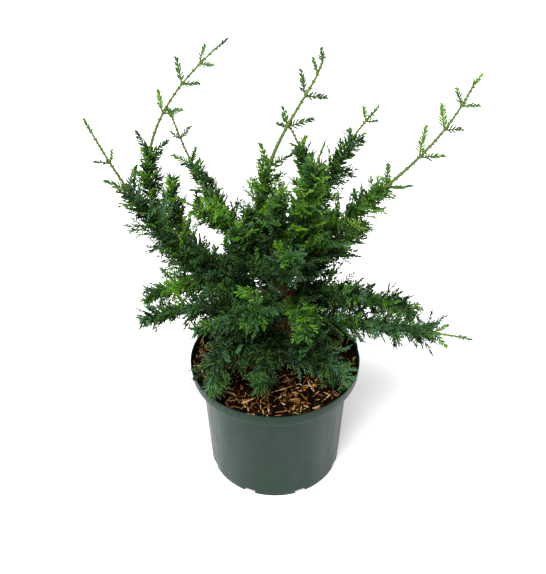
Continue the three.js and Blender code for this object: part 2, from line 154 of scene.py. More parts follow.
PLUME_SPACING = 10
PLUME_ANGLE = 48
SPRIG_SPACING = 1.45
SPRIG_ANGLE = 42
LONG_SPRIG = 32
SHORT_SPRIG = 9
LONG_SHOOT = 140
STEM_LEAD = 3
TIP_SPRAY = 16
GOLDEN_ANGLE = 137.5
ROLL_JITTER = 30
LIGHT_SIDE = (0, -0.8, 0.6)
ROLL_TRIES = (0, 60, -60, 120, -120)
ANGLE_JITTER = 16
TWIST_JITTER = 90
LENGTH_JITTER = 0.15
SPRIG_JITTER = 0.35
START_SWELL = 0.8
START_SHARE = 0.2
END_SWELL = 0.42
SHORTEST_SPRAY = 10
SHRINK_STEPS = (1, 0.8, 0.62)
BALL_STEP = 2
LIMB_MARGIN = 0.9
RIM_MARGIN = 2
SEED = 7351
CURVE_STEPS = 200

# Where a plume is tested for room: shares of its length ahead, and half widths to a side.
PLUME_HALF = 0.25
PLUME_MARKS = ((0.35, 0), (0.7, 0), (1, 0), (0.5, 1), (0.5, -1), (0.75, 0.8), (0.75, -0.8))

Bough = namedtuple("Bough", "name rise shoulder elbow tip bare plume open girth tint")

# Each bough leaves the trunk at a rise above the compost, heads for its shoulder, then its
# elbow, and ends at its tip. `bare` is the share of its length before the foliage, `plume`
# the length of a full plume, `open` the length of the thin shoot at its end, and `girth` its
# radius at the trunk.
BOUGHS = [Bough(*row) for row in (
    ("leader", FORK, (151, 52, 243), (41, 72, 313), (31, 50, 358), 0, 42, 142, 2.8, "mid"),
    ("far_left", 45, (166, 89, 92), (177, 138, 189), (174, 182, 290), 0.14, 44, 85, 2.8, "blue"),
    ("left_tall", 62, (128, 52, 24), (162, 269, 168), (116, 110, 337), 0.14, 36, 150, 2.8, "mid"),
    ("left_thin", 106, (138, 84, 160), (131, 138, 181), (132, 171, 250), 0.2, 28, 70, 2.2, "dark"),
    ("left_bright", 92, (-174, 36, 188), (-153, 62, 208), (-154, 103, 245), 0.16, 30, 32, 2.2, "bright"),
    ("back_centre", 120, (61, 53, 164), (52, 96, 175), (85, 96, 256), 0.18, 30, 40, 2.2, "mid"),
    ("centre_bright", 86, (17, 43, 165), (-35, 25, 218), (-24, 50, 288), 0.16, 36, 35, 2.3, "bright"),
    ("right_pair", 104, (45, 45, 149), (49, 100, 236), (39, 136, 270), 0.15, 36, 45, 2.4, "dark"),
    ("right_long", 68, (40, 58, 181), (-4, 147, 232), (3, 184, 341), 0.12, 42, 145, 2.8, "mid"),
    ("right_mid", 57, (60, 44, 86), (44, 94, 108), (34, 118, 141), 0.15, 38, 0, 2.1, "dark"),
    ("right_under", 46, (38, 40, 96), (2, 60, 100), (-8, 92, 104), 0.17, 36, 0, 2, "dark"),
    ("right_low", 24, (-5, 38, 80), (-9, 115, 66), (-7, 211, 55), 0.15, 34, 45, 2.5, "blue"),
    ("right_fan", 38, (30, 45, 86), (15, 120, 74), (13, 168, 34), 0.17, 34, 15, 2.3, "mid"),
    ("left_fan", 72, (174, 49, 84), (176, 80, 135), (180, 138, 86), 0.17, 32, 0, 2.3, "bright"),
    ("left_low", 26, (-150, 38, 82), (-155, 64, 122), (-166, 143, 86), 0.18, 34, 0, 2.4, "dark"),
    ("left_front", 50, (-128, 36, 80), (-140, 66, 94), (-146, 99, 92), 0.22, 34, 0, 2, "mid"),
    ("front_left", 20, (-135, 50, 55), (-138, 100, 84), (-130, 99, 21), 0.17, 38, 0, 2.2, "blue"),
    ("front_right", 15, (-50, 32, 42), (-40, 72, 50), (-37, 98, 25), 0.17, 40, 0, 2.2, "blue"),
    ("front_centre", 35, (-98, 28, 52), (-103, 54, 56), (-103, 79, 28), 0.17, 38, 0, 2, "dark"),
    ("front_bright", 60, (-40, 38, 98), (-52, 52, 108), (-62, 63, 82), 0.18, 32, 0, 2, "bright"),
    ("front_mid", 84, (-105, 32, 100), (-110, 54, 120), (-112, 78, 118), 0.16, 38, 0, 2.1, "mid"),
    ("front_upper", 110, (-80, 22, 140), (-78, 38, 168), (-75, 56, 182), 0.16, 34, 0, 2.1, "dark"),
    ("back_left", 84, (112, 60, 105), (126, 93, 89), (115, 135, 43), 0.14, 38, 0, 2.3, "dark"),
    ("back_right", 88, (59, 56, 101), (70, 101, 129), (62, 143, 103), 0.17, 38, 0, 2.3, "mid"),
    ("back_low", 30, (95, 46, 52), (96, 86, 64), (95, 126, 38), 0.2, 36, 0, 2.2, "blue"),
    ("left_short", 78, (166, 38, 101), (169, 120, 133), (151, 123, 202), 0.18, 28, 0, 2.2, "dark"),
    ("centre_left", 118, (174, 24, 138), (160, 28, 172), (158, 32, 192), 0.2, 28, 0, 2, "dark"),
    ("centre_inner", 124, (-29, 12, 157), (-124, 9, 205), (-68, 22, 242), 0.18, 32, 20, 2, "mid"),
)]

# The bough whose foliage is two nodes in the frame, below and above its bend.
SPLIT_BOUGH = "left_tall"

# How far twigs of two masses may reach past the middle between their boughs.
INTERLACE = 12

# How far back a plume may reach, which is where the solids end.
BACK_EDGE = 130

# Which leaf colours a mass is dealt, and how often. A few leaves stray to the next colour.
TINTS = ("deep", "dark", "mid", "blue", "bright", "fresh")
LIGHTER = (1, 2, 4, 2, 4, 5)
DARKER = (0, 0, 1, 1, 2, 4)
DEALS = {
    "dark": (0.18, 0.43, 0.20, 0.16, 0.03, 0.0),
    "mid": (0.09, 0.27, 0.42, 0.13, 0.08, 0.01),
    "blue": (0.07, 0.18, 0.14, 0.58, 0.03, 0.0),
    "bright": (0.04, 0.18, 0.42, 0.03, 0.30, 0.03),
}
SHOOT_DEAL = (0.04, 0.26, 0.48, 0.0, 0.20, 0.02)
KNOB_TINTS = (2, 4)
STRAY_SHARE = 0.17

# Plumes added between two stations: how they stray in roll, spread and twist, and how long
# they are beside the station's own.
BETWEEN = 4
BETWEEN_ROLL = (-25, 25)
BETWEEN_SPREAD = (-14, 8)
BETWEEN_REACH = (0.5, 0.88)
BETWEEN_TWIST = (-50, 50)

# Short plumes that cover the stem, coloured two steps darker as painted shade. There are more of
# them, more spread and longer, near the trunk and on boughs with low tips.
INNER = 2
HEART_INNER = 4
HEART_SHARE = 0.45
LOW_TIP = 60
INNER_TWIST = (-60, 60)
INNER_SPREAD = (40, 62)
HEART_SPREAD = (40, 100)
INNER_REACH = (11, 15)
HEART_REACH = (11, 24)
LOW_REACH = (11, 28)

# Foliage low in the heart is older and darker, partly as painted shade, and high or far out it is
# younger and lighter, partly as painted light.
AGE_AND_SHADE_REACH = 0.6
OLD_AND_SHADED_BELOW = 140
YOUNG_AND_LIT_ABOVE = 185
AGED_AND_SHADED_SHARE = 0.45
# The share of each stem whose brush is a step darker, as painted shade.
SHADED_STEM = 0.6

# A twiglet and a toe of an open shoot, at the sizes their shapes are drawn. Rings give the
# start, the end and the radius at each.
TWIGLET = 7.0
THICKNESS = 1.45
TWIGLET_RINGS = ((0, 3.4, 0.5, 0.74), (3.4, 6.1, 0.74, 0.62), (6.1, 7, 0.62, 0))
TWIGLET_BEND = (-0.5, 0.5)
SCALES = 2
SCALE_STANDS = (0.22, 0.72)
SCALE_SPREAD = (0.3, 0.5)
SCALE_LIFT = (-0.15, 0.15)
SCALE_LENGTH = 0.34
BUD = 4.2
BUD_THICKNESS = 2.4
BUD_RINGS = ((0, 2.6, 0.5, 0.85), (2.6, 4.2, 0.85, 0.3))
BUD_SCALES = 5
BUD_SCALE_START = 0.5
BUD_SCALE_STEP = 0.55
BUD_SCALE_AHEAD = 1.6
BUD_SCALE_SPREAD = (0.7, 1)
BUD_SCALE_LIFT = (-0.8, 0.8)
BUD_SCALE_LENGTHS = (1.3, 1.8)
SHAPES = 8
BUD_SHAPES = 5

# A piece of twig: how thin it is ahead, how far it reaches into the next, and a direction that
# no twig takes, which its sides are measured from.
TWIG_TAPER = 0.75
TWIG_OVERLAP = 0.2
ODD_WAY = (0.31, 0.42, 0.85)

# A feather, from its lead to its tip: how its twiglets open at both ends, in degrees, and the
# smaller feathers on a full one.
FEATHER_LEAD = 0.06
FEATHER_OPENING = (58, 34)
OPENING_JITTER = 7
OFF_PLANE = 0.26
FEATHER_LENGTHS = (0.8, 1.12)
FEATHER_GIRTHS = (0.85, 1.1)
FEATHER_END = 0.75
FEATHER_TWIG = (0.5, 0.4)
FEATHER_BOW = 0.07
FEATHER_SWEEP = 0.08
FANS = 2
FAN_STANDS = (0.18, 0.68)
FAN_ANGLE = 40
FAN_JITTER = 6
FAN_SIZES = (0.5, 0.3)
FAN_RANGE = (0.85, 1.15)
FAN_TWIGLET = 0.85
FAN_BOW = 0.08
FAN_SWEEP = 0.12
FAN_LIFT = 0.25

# A sprig of an open shoot: the distance between its toes, their length, where the first and
# last pairs stand, how they open at both ends, and where its end toe stands.
SPRIG_TOES = 3.0
SPRIG_TOE = 6.0
TOE_STANDS = (0.14, 0.94)
TOE_OPENING = (50, 26)
TOE_OPENING_JITTER = 6
TOE_SIZES = (1.1, 0.7)
TOE_LENGTHS = (0.8, 1.15)
TOE_GIRTHS = (0.9, 1.1)
TOE_LIFT = 0.35
SPRIG_BEND = 0.1
SPRIG_TWIG = (1.0, 0.7)
END_TOE_STAND = 0.86

# The brush of twiglets straight on the stem, with their number for each millimetre, and the
# clasping leaves of open stems. Seats are shares of the stem's radius.
STEM_TWIGLETS = 3.0
BRUSH_STEP = 12.0
BRUSH_ANGLE = 50
BRUSH_JITTER = 9
BRUSH_LENGTHS = (1.1, 1.6)
BRUSH_TURN = 0.3
BRUSH_SEAT = 0.7
LEADER_START = 4.0
OPEN_SHOOT = 20
KNOB_SPACING = 4.0
KNOB_LENGTHS = (2.8, 4.4)
KNOB_THICKNESS = 1.6
KNOB_LEAN = 0.5
KNOB_TURN = 0.25
KNOB_SEAT = 0.5

PIECE_FACES = 170000


# --- The rule ---

def place(spot):
    """The point at a direction, reach and height above the compost."""
    direction, reach, height = spot
    angle = math.radians(direction)
    return np.array([reach * math.cos(angle), reach * math.sin(angle), SOIL + height])


def unit(vectors):
    """Vectors cut or stretched to length one."""
    return vectors / np.linalg.norm(vectors, axis=-1, keepdims=True)


def lerp(start, end, share):
    return start + (end - start) * share


def random_source(seed):
    """The small generator that the plant's rule draws from."""
    whole = 0xFFFFFFFF
    state = seed & whole

    def draw():
        nonlocal state
        state = (state + 0x6D2B79F5) & whole
        mixed = state
        mixed = ((mixed ^ (mixed >> 15)) * (mixed | 1)) & whole
        mixed ^= (mixed + (((mixed ^ (mixed >> 7)) * (mixed | 61)) & whole)) & whole
        return (mixed ^ (mixed >> 14)) / 4294967296

    return draw


class LimbCurve:
    """A cubic curve that is measured along its own length."""

    def __init__(self, *points):
        self.points = np.array(points, float)
        self.steps = np.linspace(0, 1, CURVE_STEPS + 1)
        strides = np.linalg.norm(np.diff(self.spot(self.steps), axis=0), axis=1)
        self.runs = np.concatenate([[0], np.cumsum(strides)])
        self.length = self.runs[-1]

    def spot(self, step):
        step = np.asarray(step, float)[..., None]
        rest = 1 - step
        first, second, third, fourth = self.points
        return (rest ** 3 * first + 3 * rest ** 2 * step * second
                + 3 * rest * step ** 2 * third + step ** 3 * fourth)

    def step_at(self, share):
        return np.interp(np.asarray(share) * self.length, self.runs, self.steps)

    def at(self, share):
        return self.spot(self.step_at(share))

    def along(self, share):
        step = self.step_at(share)[..., None]
        rest = 1 - step
        first, second, third, fourth = self.points
        return unit(rest ** 2 * (second - first) + 2 * rest * step * (third - second)
                    + step ** 2 * (fourth - third))


foot = np.array([*TRUNK_FOOT, SOIL], float)
lean = np.array([*TRUNK_LEAN, SOIL + LEAN_HEIGHT], float)
fork = np.array([*FORK_SPOT, SOIL + FORK], float)
ease = lerp(fork, place(BOUGHS[0].shoulder), -FORK_EASE)
trunk_curve = LimbCurve(foot, lean, ease, fork)


def trunk_radius(run):
    taper = lerp(TRUNK_RADIUS, FORK_RADIUS, run / trunk_curve.length)
    return taper + FLARE * np.exp(-run / FLARE_HEIGHT)


class Limb:
    """A bough with its curve and its stations for plumes."""

    def __init__(self, bough, index):
        self.bough = bough
        root = trunk_curve.spot(bough.rise / FORK)
        self.curve = LimbCurve(
            root, place(bough.shoulder), place(bough.elbow), place(bough.tip))
        self.length = self.curve.length
        self.start = bough.bare * self.length
        self.plumes = self.grow(random_source(SEED + index))

    def radius(self, run):
        return lerp(self.bough.girth, STEM_TIP_RADIUS, run / self.length)

    def stations(self):
        """Full plumes first, then pairs of sprigs along the open shoot."""
        bough = self.bough
        full_end = self.length - bough.open
        run = self.start + STEM_LEAD
        while run < self.length - TIP_SPRAY:
            if run < full_end:
                share = (run - self.start) / (full_end - self.start)
                opening = lerp(START_SWELL, 1, min(1, share / START_SHARE))
                reach = bough.plume * opening * lerp(1, END_SWELL, share ** 2)
                yield run, reach, PLUME_ANGLE, None
                run += PLUME_SPACING
            else:
                to_tip = self.length - run
                reach = lerp(SHORT_SPRIG, LONG_SPRIG, min(1, to_tip / LONG_SHOOT))
                for side in (0, 180):
                    yield run, reach, SPRIG_ANGLE, side
                run += SPRIG_SPACING * reach

    def grow(self, draw):
        """Each station's run, and how its plume is turned, spread, stretched and twisted.

        Plumes wind round the stem. The sprigs of an open shoot are flat: one of a pair stands
        off to each side, and their faces are turned towards the light.
        """
        roll = 360 * draw()
        plumes = []
        for run, reach, angle, side in self.stations():
            flat = side is not None
            stray = ROLL_JITTER * (draw() - 0.5)
            roll = side + stray if flat else roll + GOLDEN_ANGLE + stray
            spread = angle + ANGLE_JITTER * (draw() - 0.5)
            jitter = SPRIG_JITTER if flat else LENGTH_JITTER
            stretch = lerp(1 - jitter, 1 + jitter, draw())
            twist = (90 if flat else 0) + TWIST_JITTER * (draw() - 0.5)
            plumes.append((run, roll, spread, reach * stretch, twist, flat))
        return plumes


limbs = [Limb(bough, index) for index, bough in enumerate(BOUGHS)]


def balls_along(curve, radius, end):
    """Balls strung along a limb, as rows of x, y, z and radius."""
    count = math.ceil(end * curve.length / BALL_STEP) + 2
    shares = np.linspace(0, end, count)
    return np.column_stack([curve.at(shares), radius(shares * curve.length)])


def nearest(points, balls):
    """How far each point is from the skin of the nearest ball."""
    away = np.linalg.norm(points[:, None, :] - balls[None, :, :3], axis=2)
    return (away - balls[None, :, 3]).min(axis=1)


class Crown:
    """The space that the boughs share."""

    def __init__(self):
        self.own = [balls_along(limb.curve, limb.radius, 1) for limb in limbs]
        wood = [balls_along(trunk_curve, trunk_radius, 1)]
        wood += [balls_along(limb.curve, limb.radius, limb.bough.bare)
                 for limb in limbs if limb.bough.bare]
        self.wood = np.concatenate(wood)
        self.others = [
            np.concatenate([balls for other, balls in enumerate(self.own) if other != index])
            for index in range(len(limbs))]

    def belongs(self, points, index):
        """Whether all points keep to the bough's own space, clear of wood and pot."""
        x, y, height = points.T
        above = height > POT_HEIGHT + LIMB_MARGIN
        within = ((height > SOIL + SOIL_LUMP + LIMB_MARGIN)
                  & (np.hypot(x, y) < RIM_RADIUS - WALL - RIM_MARGIN))
        if not np.all((above | within) & (y <= BACK_EDGE)):
            return False
        if nearest(points, self.wood).min() < LIMB_MARGIN:
            return False
        own = nearest(points, self.own[index])
        other = nearest(points, self.others[index])
        return bool(np.all(other > np.maximum(own - INTERLACE, LIMB_MARGIN)))


# --- Mesh helpers ---

def put(name, data):
    """A new object in the scene, whose data takes its name."""
    data.name = name
    thing = bpy.data.objects.new(name, data)
    bpy.context.scene.collection.objects.link(thing)
    return thing


def new_piece(name, mesh, material, slot, nodes=()):
    """Puts a finished mesh in the scene as a piece of the plant or its pot."""
    mesh.materials.clear()
    mesh.materials.append(material)
    piece = put(name, mesh)
    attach(piece, "root")
    if nodes:
        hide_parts(*nodes)
    return piece


def mesh_from(bm):
    """Turns a bmesh into a mesh and frees it."""
    mesh = bpy.data.meshes.new("mesh")
    bm.to_mesh(mesh)
    bm.free()
    return mesh


def smooth(mesh, angle):
    """Smooth shading with edges sharper than the angle kept crisp."""
    mesh.polygons.foreach_set("use_smooth", [True] * len(mesh.polygons))
    mesh.set_sharp_from_angle(angle=math.radians(angle))


def turned(profile):
    """A body of revolution from a profile of radius and height that ends on the axis."""
    bm = bmesh.new()
    spots = [bm.verts.new((radius * MM, 0, height * MM)) for radius, height in profile]
    edges = [bm.edges.new(pair) for pair in zip(spots, spots[1:])]
    bmesh.ops.spin(bm, geom=spots + edges, cent=(0, 0, 0), axis=(0, 0, 1), dvec=(0, 0, 0),
                   angle=2 * math.pi, steps=POT_STEPS, use_merge=True, use_duplicate=False)
    bmesh.ops.remove_doubles(bm, verts=bm.verts, dist=1e-6)
    bmesh.ops.recalc_face_normals(bm, faces=bm.faces)
    return bm


def bevel(bm, edges, offset, segments):
    """Rounds edges by an offset in millimetres."""
    bmesh.ops.bevel(bm, geom=edges, offset=offset, segments=segments, profile=0.5,
                    affect="EDGES", material=-1, clamp_overlap=True)


def rise(edge, axis=2):
    """How far apart an edge's ends are along an axis."""
    first, second = edge.verts
    return abs(first.co[axis] - second.co[axis])


def triangles_of(bm):
    """A bmesh's points and triangles as arrays."""
    bmesh.ops.triangulate(bm, faces=bm.faces)
    bm.verts.index_update()
    points = np.array([vert.co[:] for vert in bm.verts])
    faces = np.array([[vert.index for vert in face.verts] for face in bm.faces])
    bm.free()
    return points, faces


class Heap:
    """Limbs or small shapes gathered into one mesh. Limbs say how thick they are all along."""

    def __init__(self):
        self.spots, self.faces, self.girths, self.count = [], [], [], 0

    def gather(self, spots, faces, girths=()):
        self.spots.append(spots)
        self.faces.append(faces + self.count)
        self.girths.extend(girths)
        self.count += len(spots)

    def add(self, template, origins, axes):
        """Copies of a small shape, each with its own origin and its own three axes."""
        points, faces = template
        spots = origins[:, None, :] + np.einsum("pk,nkj->npj", points, axes)
        corners = faces + (np.arange(len(origins)) * len(points))[:, None, None]
        self.gather(spots.reshape(-1, 3), corners.reshape(-1, 3))

    def mesh(self):
        spots = (np.concatenate(self.spots) * MM).astype(np.float32)
        faces = np.concatenate(self.faces).astype(np.int32)
        mesh = bpy.data.meshes.new("mesh")
        mesh.vertices.add(len(spots))
        mesh.vertices.foreach_set("co", spots.ravel())
        mesh.loops.add(faces.size)
        mesh.loops.foreach_set("vertex_index", faces.ravel())
        mesh.polygons.add(len(faces))
        mesh.polygons.foreach_set("loop_start", np.arange(0, faces.size, 3, dtype=np.int32))
        mesh.update(calc_edges=True)
        mesh.validate()
        if self.girths:
            girth = mesh.attributes.new("girth", "FLOAT", "POINT")
            girth.data.foreach_set("value", self.girths)
            smooth(mesh, CRISP_ROUGH)
        return mesh


# --- Materials ---

# The cloudy variation of each finish, where it isn't the group's own.
PLASTIC_CLOUDS = {"Scale": 30, "Fine Scale": 900, "Fine Share": 0.35}
SCUFF_CLOUDS = {"Scale": 90, "Stretch": 0.15}
PEAT_CLOUDS = {"Scale": 160, "Fine Scale": 900, "Fine Share": 0.5}
BARK_CLOUDS = {"Scale": 140, "Fine Scale": 900, "Fine Share": 0.45, "Stretch": 0.12}
BUMP_HEIGHT = 0.5
PLASTIC_SHADE = 0.8
POLISH_RANGE = (-0.06, 0.08)


def plug(tree, node, inputs):
    """Sets a node's inputs to values, or links them to other nodes' outputs."""
    for name, value in inputs.items():
        if isinstance(value, bpy.types.NodeSocket):
            tree.links.new(value, node.inputs[name])
        else:
            node.inputs[name].default_value = value


def add_node(tree, kind, inputs, result=0, **settings):
    """A new node with its settings and inputs, given back as one of its outputs."""
    node = tree.nodes.new(f"ShaderNode{kind}")
    for name, value in settings.items():
        setattr(node, name, value)
    plug(tree, node, inputs)
    return node.outputs[result]


def mottle_group():
    """Two-scale cloudy variation, as a mask and a height, used by plastic, compost and bark."""
    group = bpy.data.node_groups.get("Mottle")
    if group:
        return group
    group = bpy.data.node_groups.new("Mottle", "ShaderNodeTree")
    for name, value in (("Scale", 60), ("Fine Scale", 600), ("Fine Share", 0.4), ("Stretch", 1)):
        socket = group.interface.new_socket(name, in_out="INPUT", socket_type="NodeSocketFloat")
        socket.default_value = value
    for name in ("Mask", "Height"):
        group.interface.new_socket(name, in_out="OUTPUT", socket_type="NodeSocketFloat")
    given = group.nodes.new("NodeGroupInput").outputs
    squeeze = add_node(group, "CombineXYZ", {"X": 1, "Y": 1, "Z": given["Stretch"]})
    spot = add_node(group, "VectorMath", {0: add_node(group, "TexCoord", {}, "Object"), 1: squeeze},
                    operation="MULTIPLY")
    coarse, fine = (
        add_node(group, "TexNoise", {"Detail": 3, "Vector": spot, "Scale": given[name]}, "Fac")
        for name in ("Scale", "Fine Scale"))
    height = add_node(group, "Mix", {"Factor": given["Fine Share"], "A": coarse, "B": fine},
                      "Result")
    mask = add_node(group, "MapRange", {"Value": height, "From Min": 0.35, "From Max": 0.65},
                    "Result")
    plug(group, group.nodes.new("NodeGroupOutput"), {"Mask": mask, "Height": height})
    return group


def dress(material, inputs):
    """Sets or links the inputs of a material's shader."""
    plug(material.node_tree, material.node_tree.nodes["Principled BSDF"], inputs)


def plain_material(name, color, roughness, gloss=0.5):
    """A material with its shader's own sockets set."""
    material = bpy.data.materials.new(name)
    material.use_nodes = True
    material.diffuse_color = (*color, 1)
    dress(material, {"Base Color": (*color, 1), "Roughness": roughness,
                     "Specular IOR Level": gloss})
    return material


def blend(tree, share, first, second):
    """A mix of two colours."""
    return add_node(tree, "Mix", {"Factor": share, "A": first, "B": second}, "Result",
                    data_type="RGBA")


def mottled_material(name, light, dark, clouds, roughness, gloss, bump):
    """A material whose colour and height vary in clouds over the surface."""
    material = plain_material(name, light, roughness, gloss)
    tree = material.node_tree
    mask = add_node(tree, "Group", clouds, "Mask", node_tree=mottle_group())
    normal = add_node(tree, "Bump", {"Strength": bump, "Distance": BUMP_HEIGHT * MM,
                                     "Height": mask.node.outputs["Height"]})
    color = blend(tree, mask, (*dark, 1), (*light, 1))
    dress(material, {"Base Color": color, "Normal": normal})
    return material, color


def pot_material(looks):
    """Semi-matte moulded plastic with faint scuffs."""
    dark = [PLASTIC_SHADE * part for part in looks.plastic]
    material, _ = mottled_material("pot_plastic", looks.plastic, dark, PLASTIC_CLOUDS,
                                   roughness=looks.roughness, gloss=looks.gloss, bump=0.08)
    tree = material.node_tree
    scuffs = add_node(tree, "Group", SCUFF_CLOUDS, "Mask", node_tree=mottle_group())
    least, most = (looks.roughness + change for change in POLISH_RANGE)
    polish = add_node(tree, "MapRange", {"Value": scuffs, "To Min": least, "To Max": most},
                      "Result")
    dress(material, {"Roughness": polish})
    return material


def wood_material(looks):
    """Fibrous orange-brown bark that turns to green skin as the limb gets thinner."""
    material = bpy.data.materials.get("limb_bark")
    if material:
        return material
    material, bark = mottled_material("limb_bark", looks.bark, looks.bark_dark, BARK_CLOUDS,
                                      roughness=0.8, gloss=0.2, bump=0.9)
    tree = material.node_tree
    girth = add_node(tree, "Attribute", {}, "Fac", attribute_name="girth")
    age = add_node(tree, "MapRange", {"Value": girth, "From Min": looks.green_radius / MM,
                                      "From Max": looks.brown_radius / MM}, "Result")
    dress(material, {"Base Color": blend(tree, age, (*looks.shoot, 1), bark)})
    return material


# --- Sizes and colours ---

def tone(name, description, default):
    return FloatVectorProperty(name=name, description=description, default=default,
                               subtype="COLOR", min=0, max=1, size=3)


def amount(name, description, default, **limits):
    return FloatProperty(name=name, description=description, default=default, min=0, **limits)


def length(name, description, default):
    return amount(name, description, default * MM, unit="LENGTH")


def how_many(name, description, default):
    return IntProperty(name=name, description=description, default=default, min=0)


class PotLooks(bpy.types.PropertyGroup):
    """Sizes and finish of the pot"""

    edge: length("Edge rounding", "Radius of the pot's moulded edges", 0.5)
    collar_edge: length("Collar rounding", "Radius under the collar", 2.2)
    roughness: amount("Roughness", "How dull the plastic is", 0.4, max=1)
    gloss: amount("Gloss", "How much the plastic mirrors", 0.15, max=1)
    plastic: tone("Plastic", "Colour of the pot", (0.008, 0.030, 0.019))


class CompostLooks(bpy.types.PropertyGroup):
    """How the compost's surface is strewn"""

    slivers: how_many("Slivers", "Thin bark slivers on top", 3400)
    chips: how_many("Chips", "Flat bark chips on top", 900)
    crumbs: how_many("Crumbs", "Small dark crumbs on top", 1500)
    peat: tone("Peat", "Colour of the compost under the bark", (0.002, 0.001, 0.0006))
    peat_light: tone("Dry peat", "Colour of drier compost", (0.006, 0.003, 0.0015))
    umber: tone("Umber bark", "Darkest slivers", (0.005, 0.002, 0.001))
    brown: tone("Brown bark", "Middle slivers", (0.026, 0.011, 0.003))
    rust: tone("Rust bark", "Orange slivers", (0.260, 0.110, 0.020))
    tan: tone("Tan bark", "Light slivers", (0.520, 0.300, 0.095))
    straw: tone("Straw fibre", "Palest fibres", (0.700, 0.480, 0.260))


class WoodLooks(bpy.types.PropertyGroup):
    """Bark of the trunk and boughs"""

    relief: length("Bark relief", "Height of the trunk's bark ridges", 0.55)
    bark: tone("Bark", "Colour of the ridges", (0.480, 0.175, 0.045))
    bark_dark: tone("Bark furrows", "Colour between the ridges", (0.120, 0.042, 0.014))
    shoot: tone("Young shoot", "Colour of thin green stems", (0.110, 0.160, 0.038))
    green_radius: length("Green radius", "Limbs thinner than this are green", 2.0)
    brown_radius: length("Brown radius", "Limbs thicker than this are brown", 2.5)


class FoliageLooks(bpy.types.PropertyGroup):
    """Twiglets of scale leaves"""

    twiglet: length("Twiglet", "Length of a full twiglet", 7.5)
    thickness: length("Thickness", "Thickness of a twiglet with its leaves", 1.4)
    spacing: length("Spacing", "Distance between twiglets on one side of a twig", 3.2)
    roughness: amount("Roughness", "How dull the leaves are", 0.6, max=1)
    gloss: amount("Gloss", "How much the leaves mirror", 0.08, max=1)
    # Deep and dark also serve as painted shade on plumes and brush inside the crown.
    deep: tone("Deep", "Oldest leaves", (0.009, 0.027, 0.007))
    dark: tone("Dark", "Dark leaves", (0.032, 0.090, 0.023))
    mid: tone("Mid", "Mid green leaves", (0.064, 0.172, 0.027))
    blue: tone("Blue", "Leaves with a waxy bloom", (0.068, 0.158, 0.082))
    bright: tone("Bright", "Bright young leaves", (0.115, 0.285, 0.018))
    fresh: tone("Fresh", "Newest tips", (0.210, 0.350, 0.055))
    twig: tone("Twig", "Thin green twigs", (0.085, 0.125, 0.035))


class StageLooks(bpy.types.PropertyGroup):
    """Floor and light"""

    floor: tone("Floor", "Colour of the floor", (0.93, 0.93, 0.92))
    glow: amount("Glow", "Light that the floor gives off", 0.4)
    sky: amount("Sky", "Strength of the even light", 0.34)
    key: amount("Key", "Strength of the soft main light", 4.8)
    softness: amount("Softness", "How wide the main light is", math.radians(32),
                     max=math.pi, unit="ROTATION")


# --- Pot ---

class CYPRESS_OT_pot(bpy.types.Operator):
    """Build the round nursery pot"""

    bl_idname = "cypress.pot"
    bl_label = "Pot"

    def execute(self, context):
        looks = context.scene.cypress_pot
        band_radius = lerp(FOOT_RADIUS, SHOULDER_RADIUS, BAND / COLLAR_FOOT)
        bm = turned([
            (0, 0), (FOOT_RADIUS, 0), (band_radius, BAND), (SHOULDER_RADIUS, COLLAR_FOOT),
            (COLLAR_RADIUS, COLLAR_FOOT), (RIM_RADIUS, POT_HEIGHT),
            (RIM_RADIUS - WALL, POT_HEIGHT), (COLLAR_RADIUS - WALL, COLLAR_FOOT + WALL),
            (SHOULDER_RADIUS - WALL, COLLAR_FOOT + WALL), (band_radius - WALL, BAND),
            (FOOT_RADIUS - WALL, FLOOR), (0, FLOOR)])
        for radius, height, offset, segments in (
                (COLLAR_RADIUS, COLLAR_FOOT, looks.collar_edge, 5),
                (SHOULDER_RADIUS, COLLAR_FOOT, looks.collar_edge, 4),
                (RIM_RADIUS, POT_HEIGHT, looks.edge, 3),
                (RIM_RADIUS - WALL, POT_HEIGHT, looks.edge, 3),
                (FOOT_RADIUS, 0, looks.edge, 3)):
            ring = [edge for edge in bm.edges
                    if all(abs(math.hypot(vert.co.x, vert.co.y) - radius * MM) < 1e-5
                           and abs(vert.co.z - height * MM) < 1e-5 for vert in edge.verts)]
            bevel(bm, ring, offset, segments)
        pot = new_piece("pot_shell", mesh_from(bm), pot_material(looks), "pot_plastic", ["pot"])
        carve(pot, notch_cutters())
        smooth(pot.data, CRISP)
        return {"FINISHED"}


def notch_cutters():
    """Blocks that cut the drain notches out of the pot's foot."""
    bm = bmesh.new()
    shift = Matrix.Translation((FOOT_RADIUS * MM, 0, 0))
    size = Matrix.Diagonal((2 * NOTCH_DEPTH * MM, NOTCH_WIDTH * MM, 2 * NOTCH_HEIGHT * MM, 1))
    for notch in range(DRAIN_NOTCHES):
        turn = Matrix.Rotation(2 * math.pi * (notch + 0.5) / DRAIN_NOTCHES, 4, "Z")
        bmesh.ops.create_cube(bm, size=1, matrix=turn @ shift @ size)
    tops = [edge for edge in bm.edges if rise(edge) < 1e-6 and edge.verts[0].co.z > 0]
    bevel(bm, tops, NOTCH_ROUNDING * MM, 3)
    return put("notch_cutters", mesh_from(bm))


def carve(piece, cutter):
    """Cuts one object out of a piece and throws the cutter away."""
    cut = piece.modifiers.new("Cut", "BOOLEAN")
    cut.operation = "DIFFERENCE"
    cut.solver = "EXACT"
    cut.object = cutter
    graph = bpy.context.evaluated_depsgraph_get()
    carved = bpy.data.meshes.new_from_object(piece.evaluated_get(graph))
    piece.modifiers.clear()
    piece.data = carved
    bpy.data.objects.remove(cutter)


# --- Compost ---

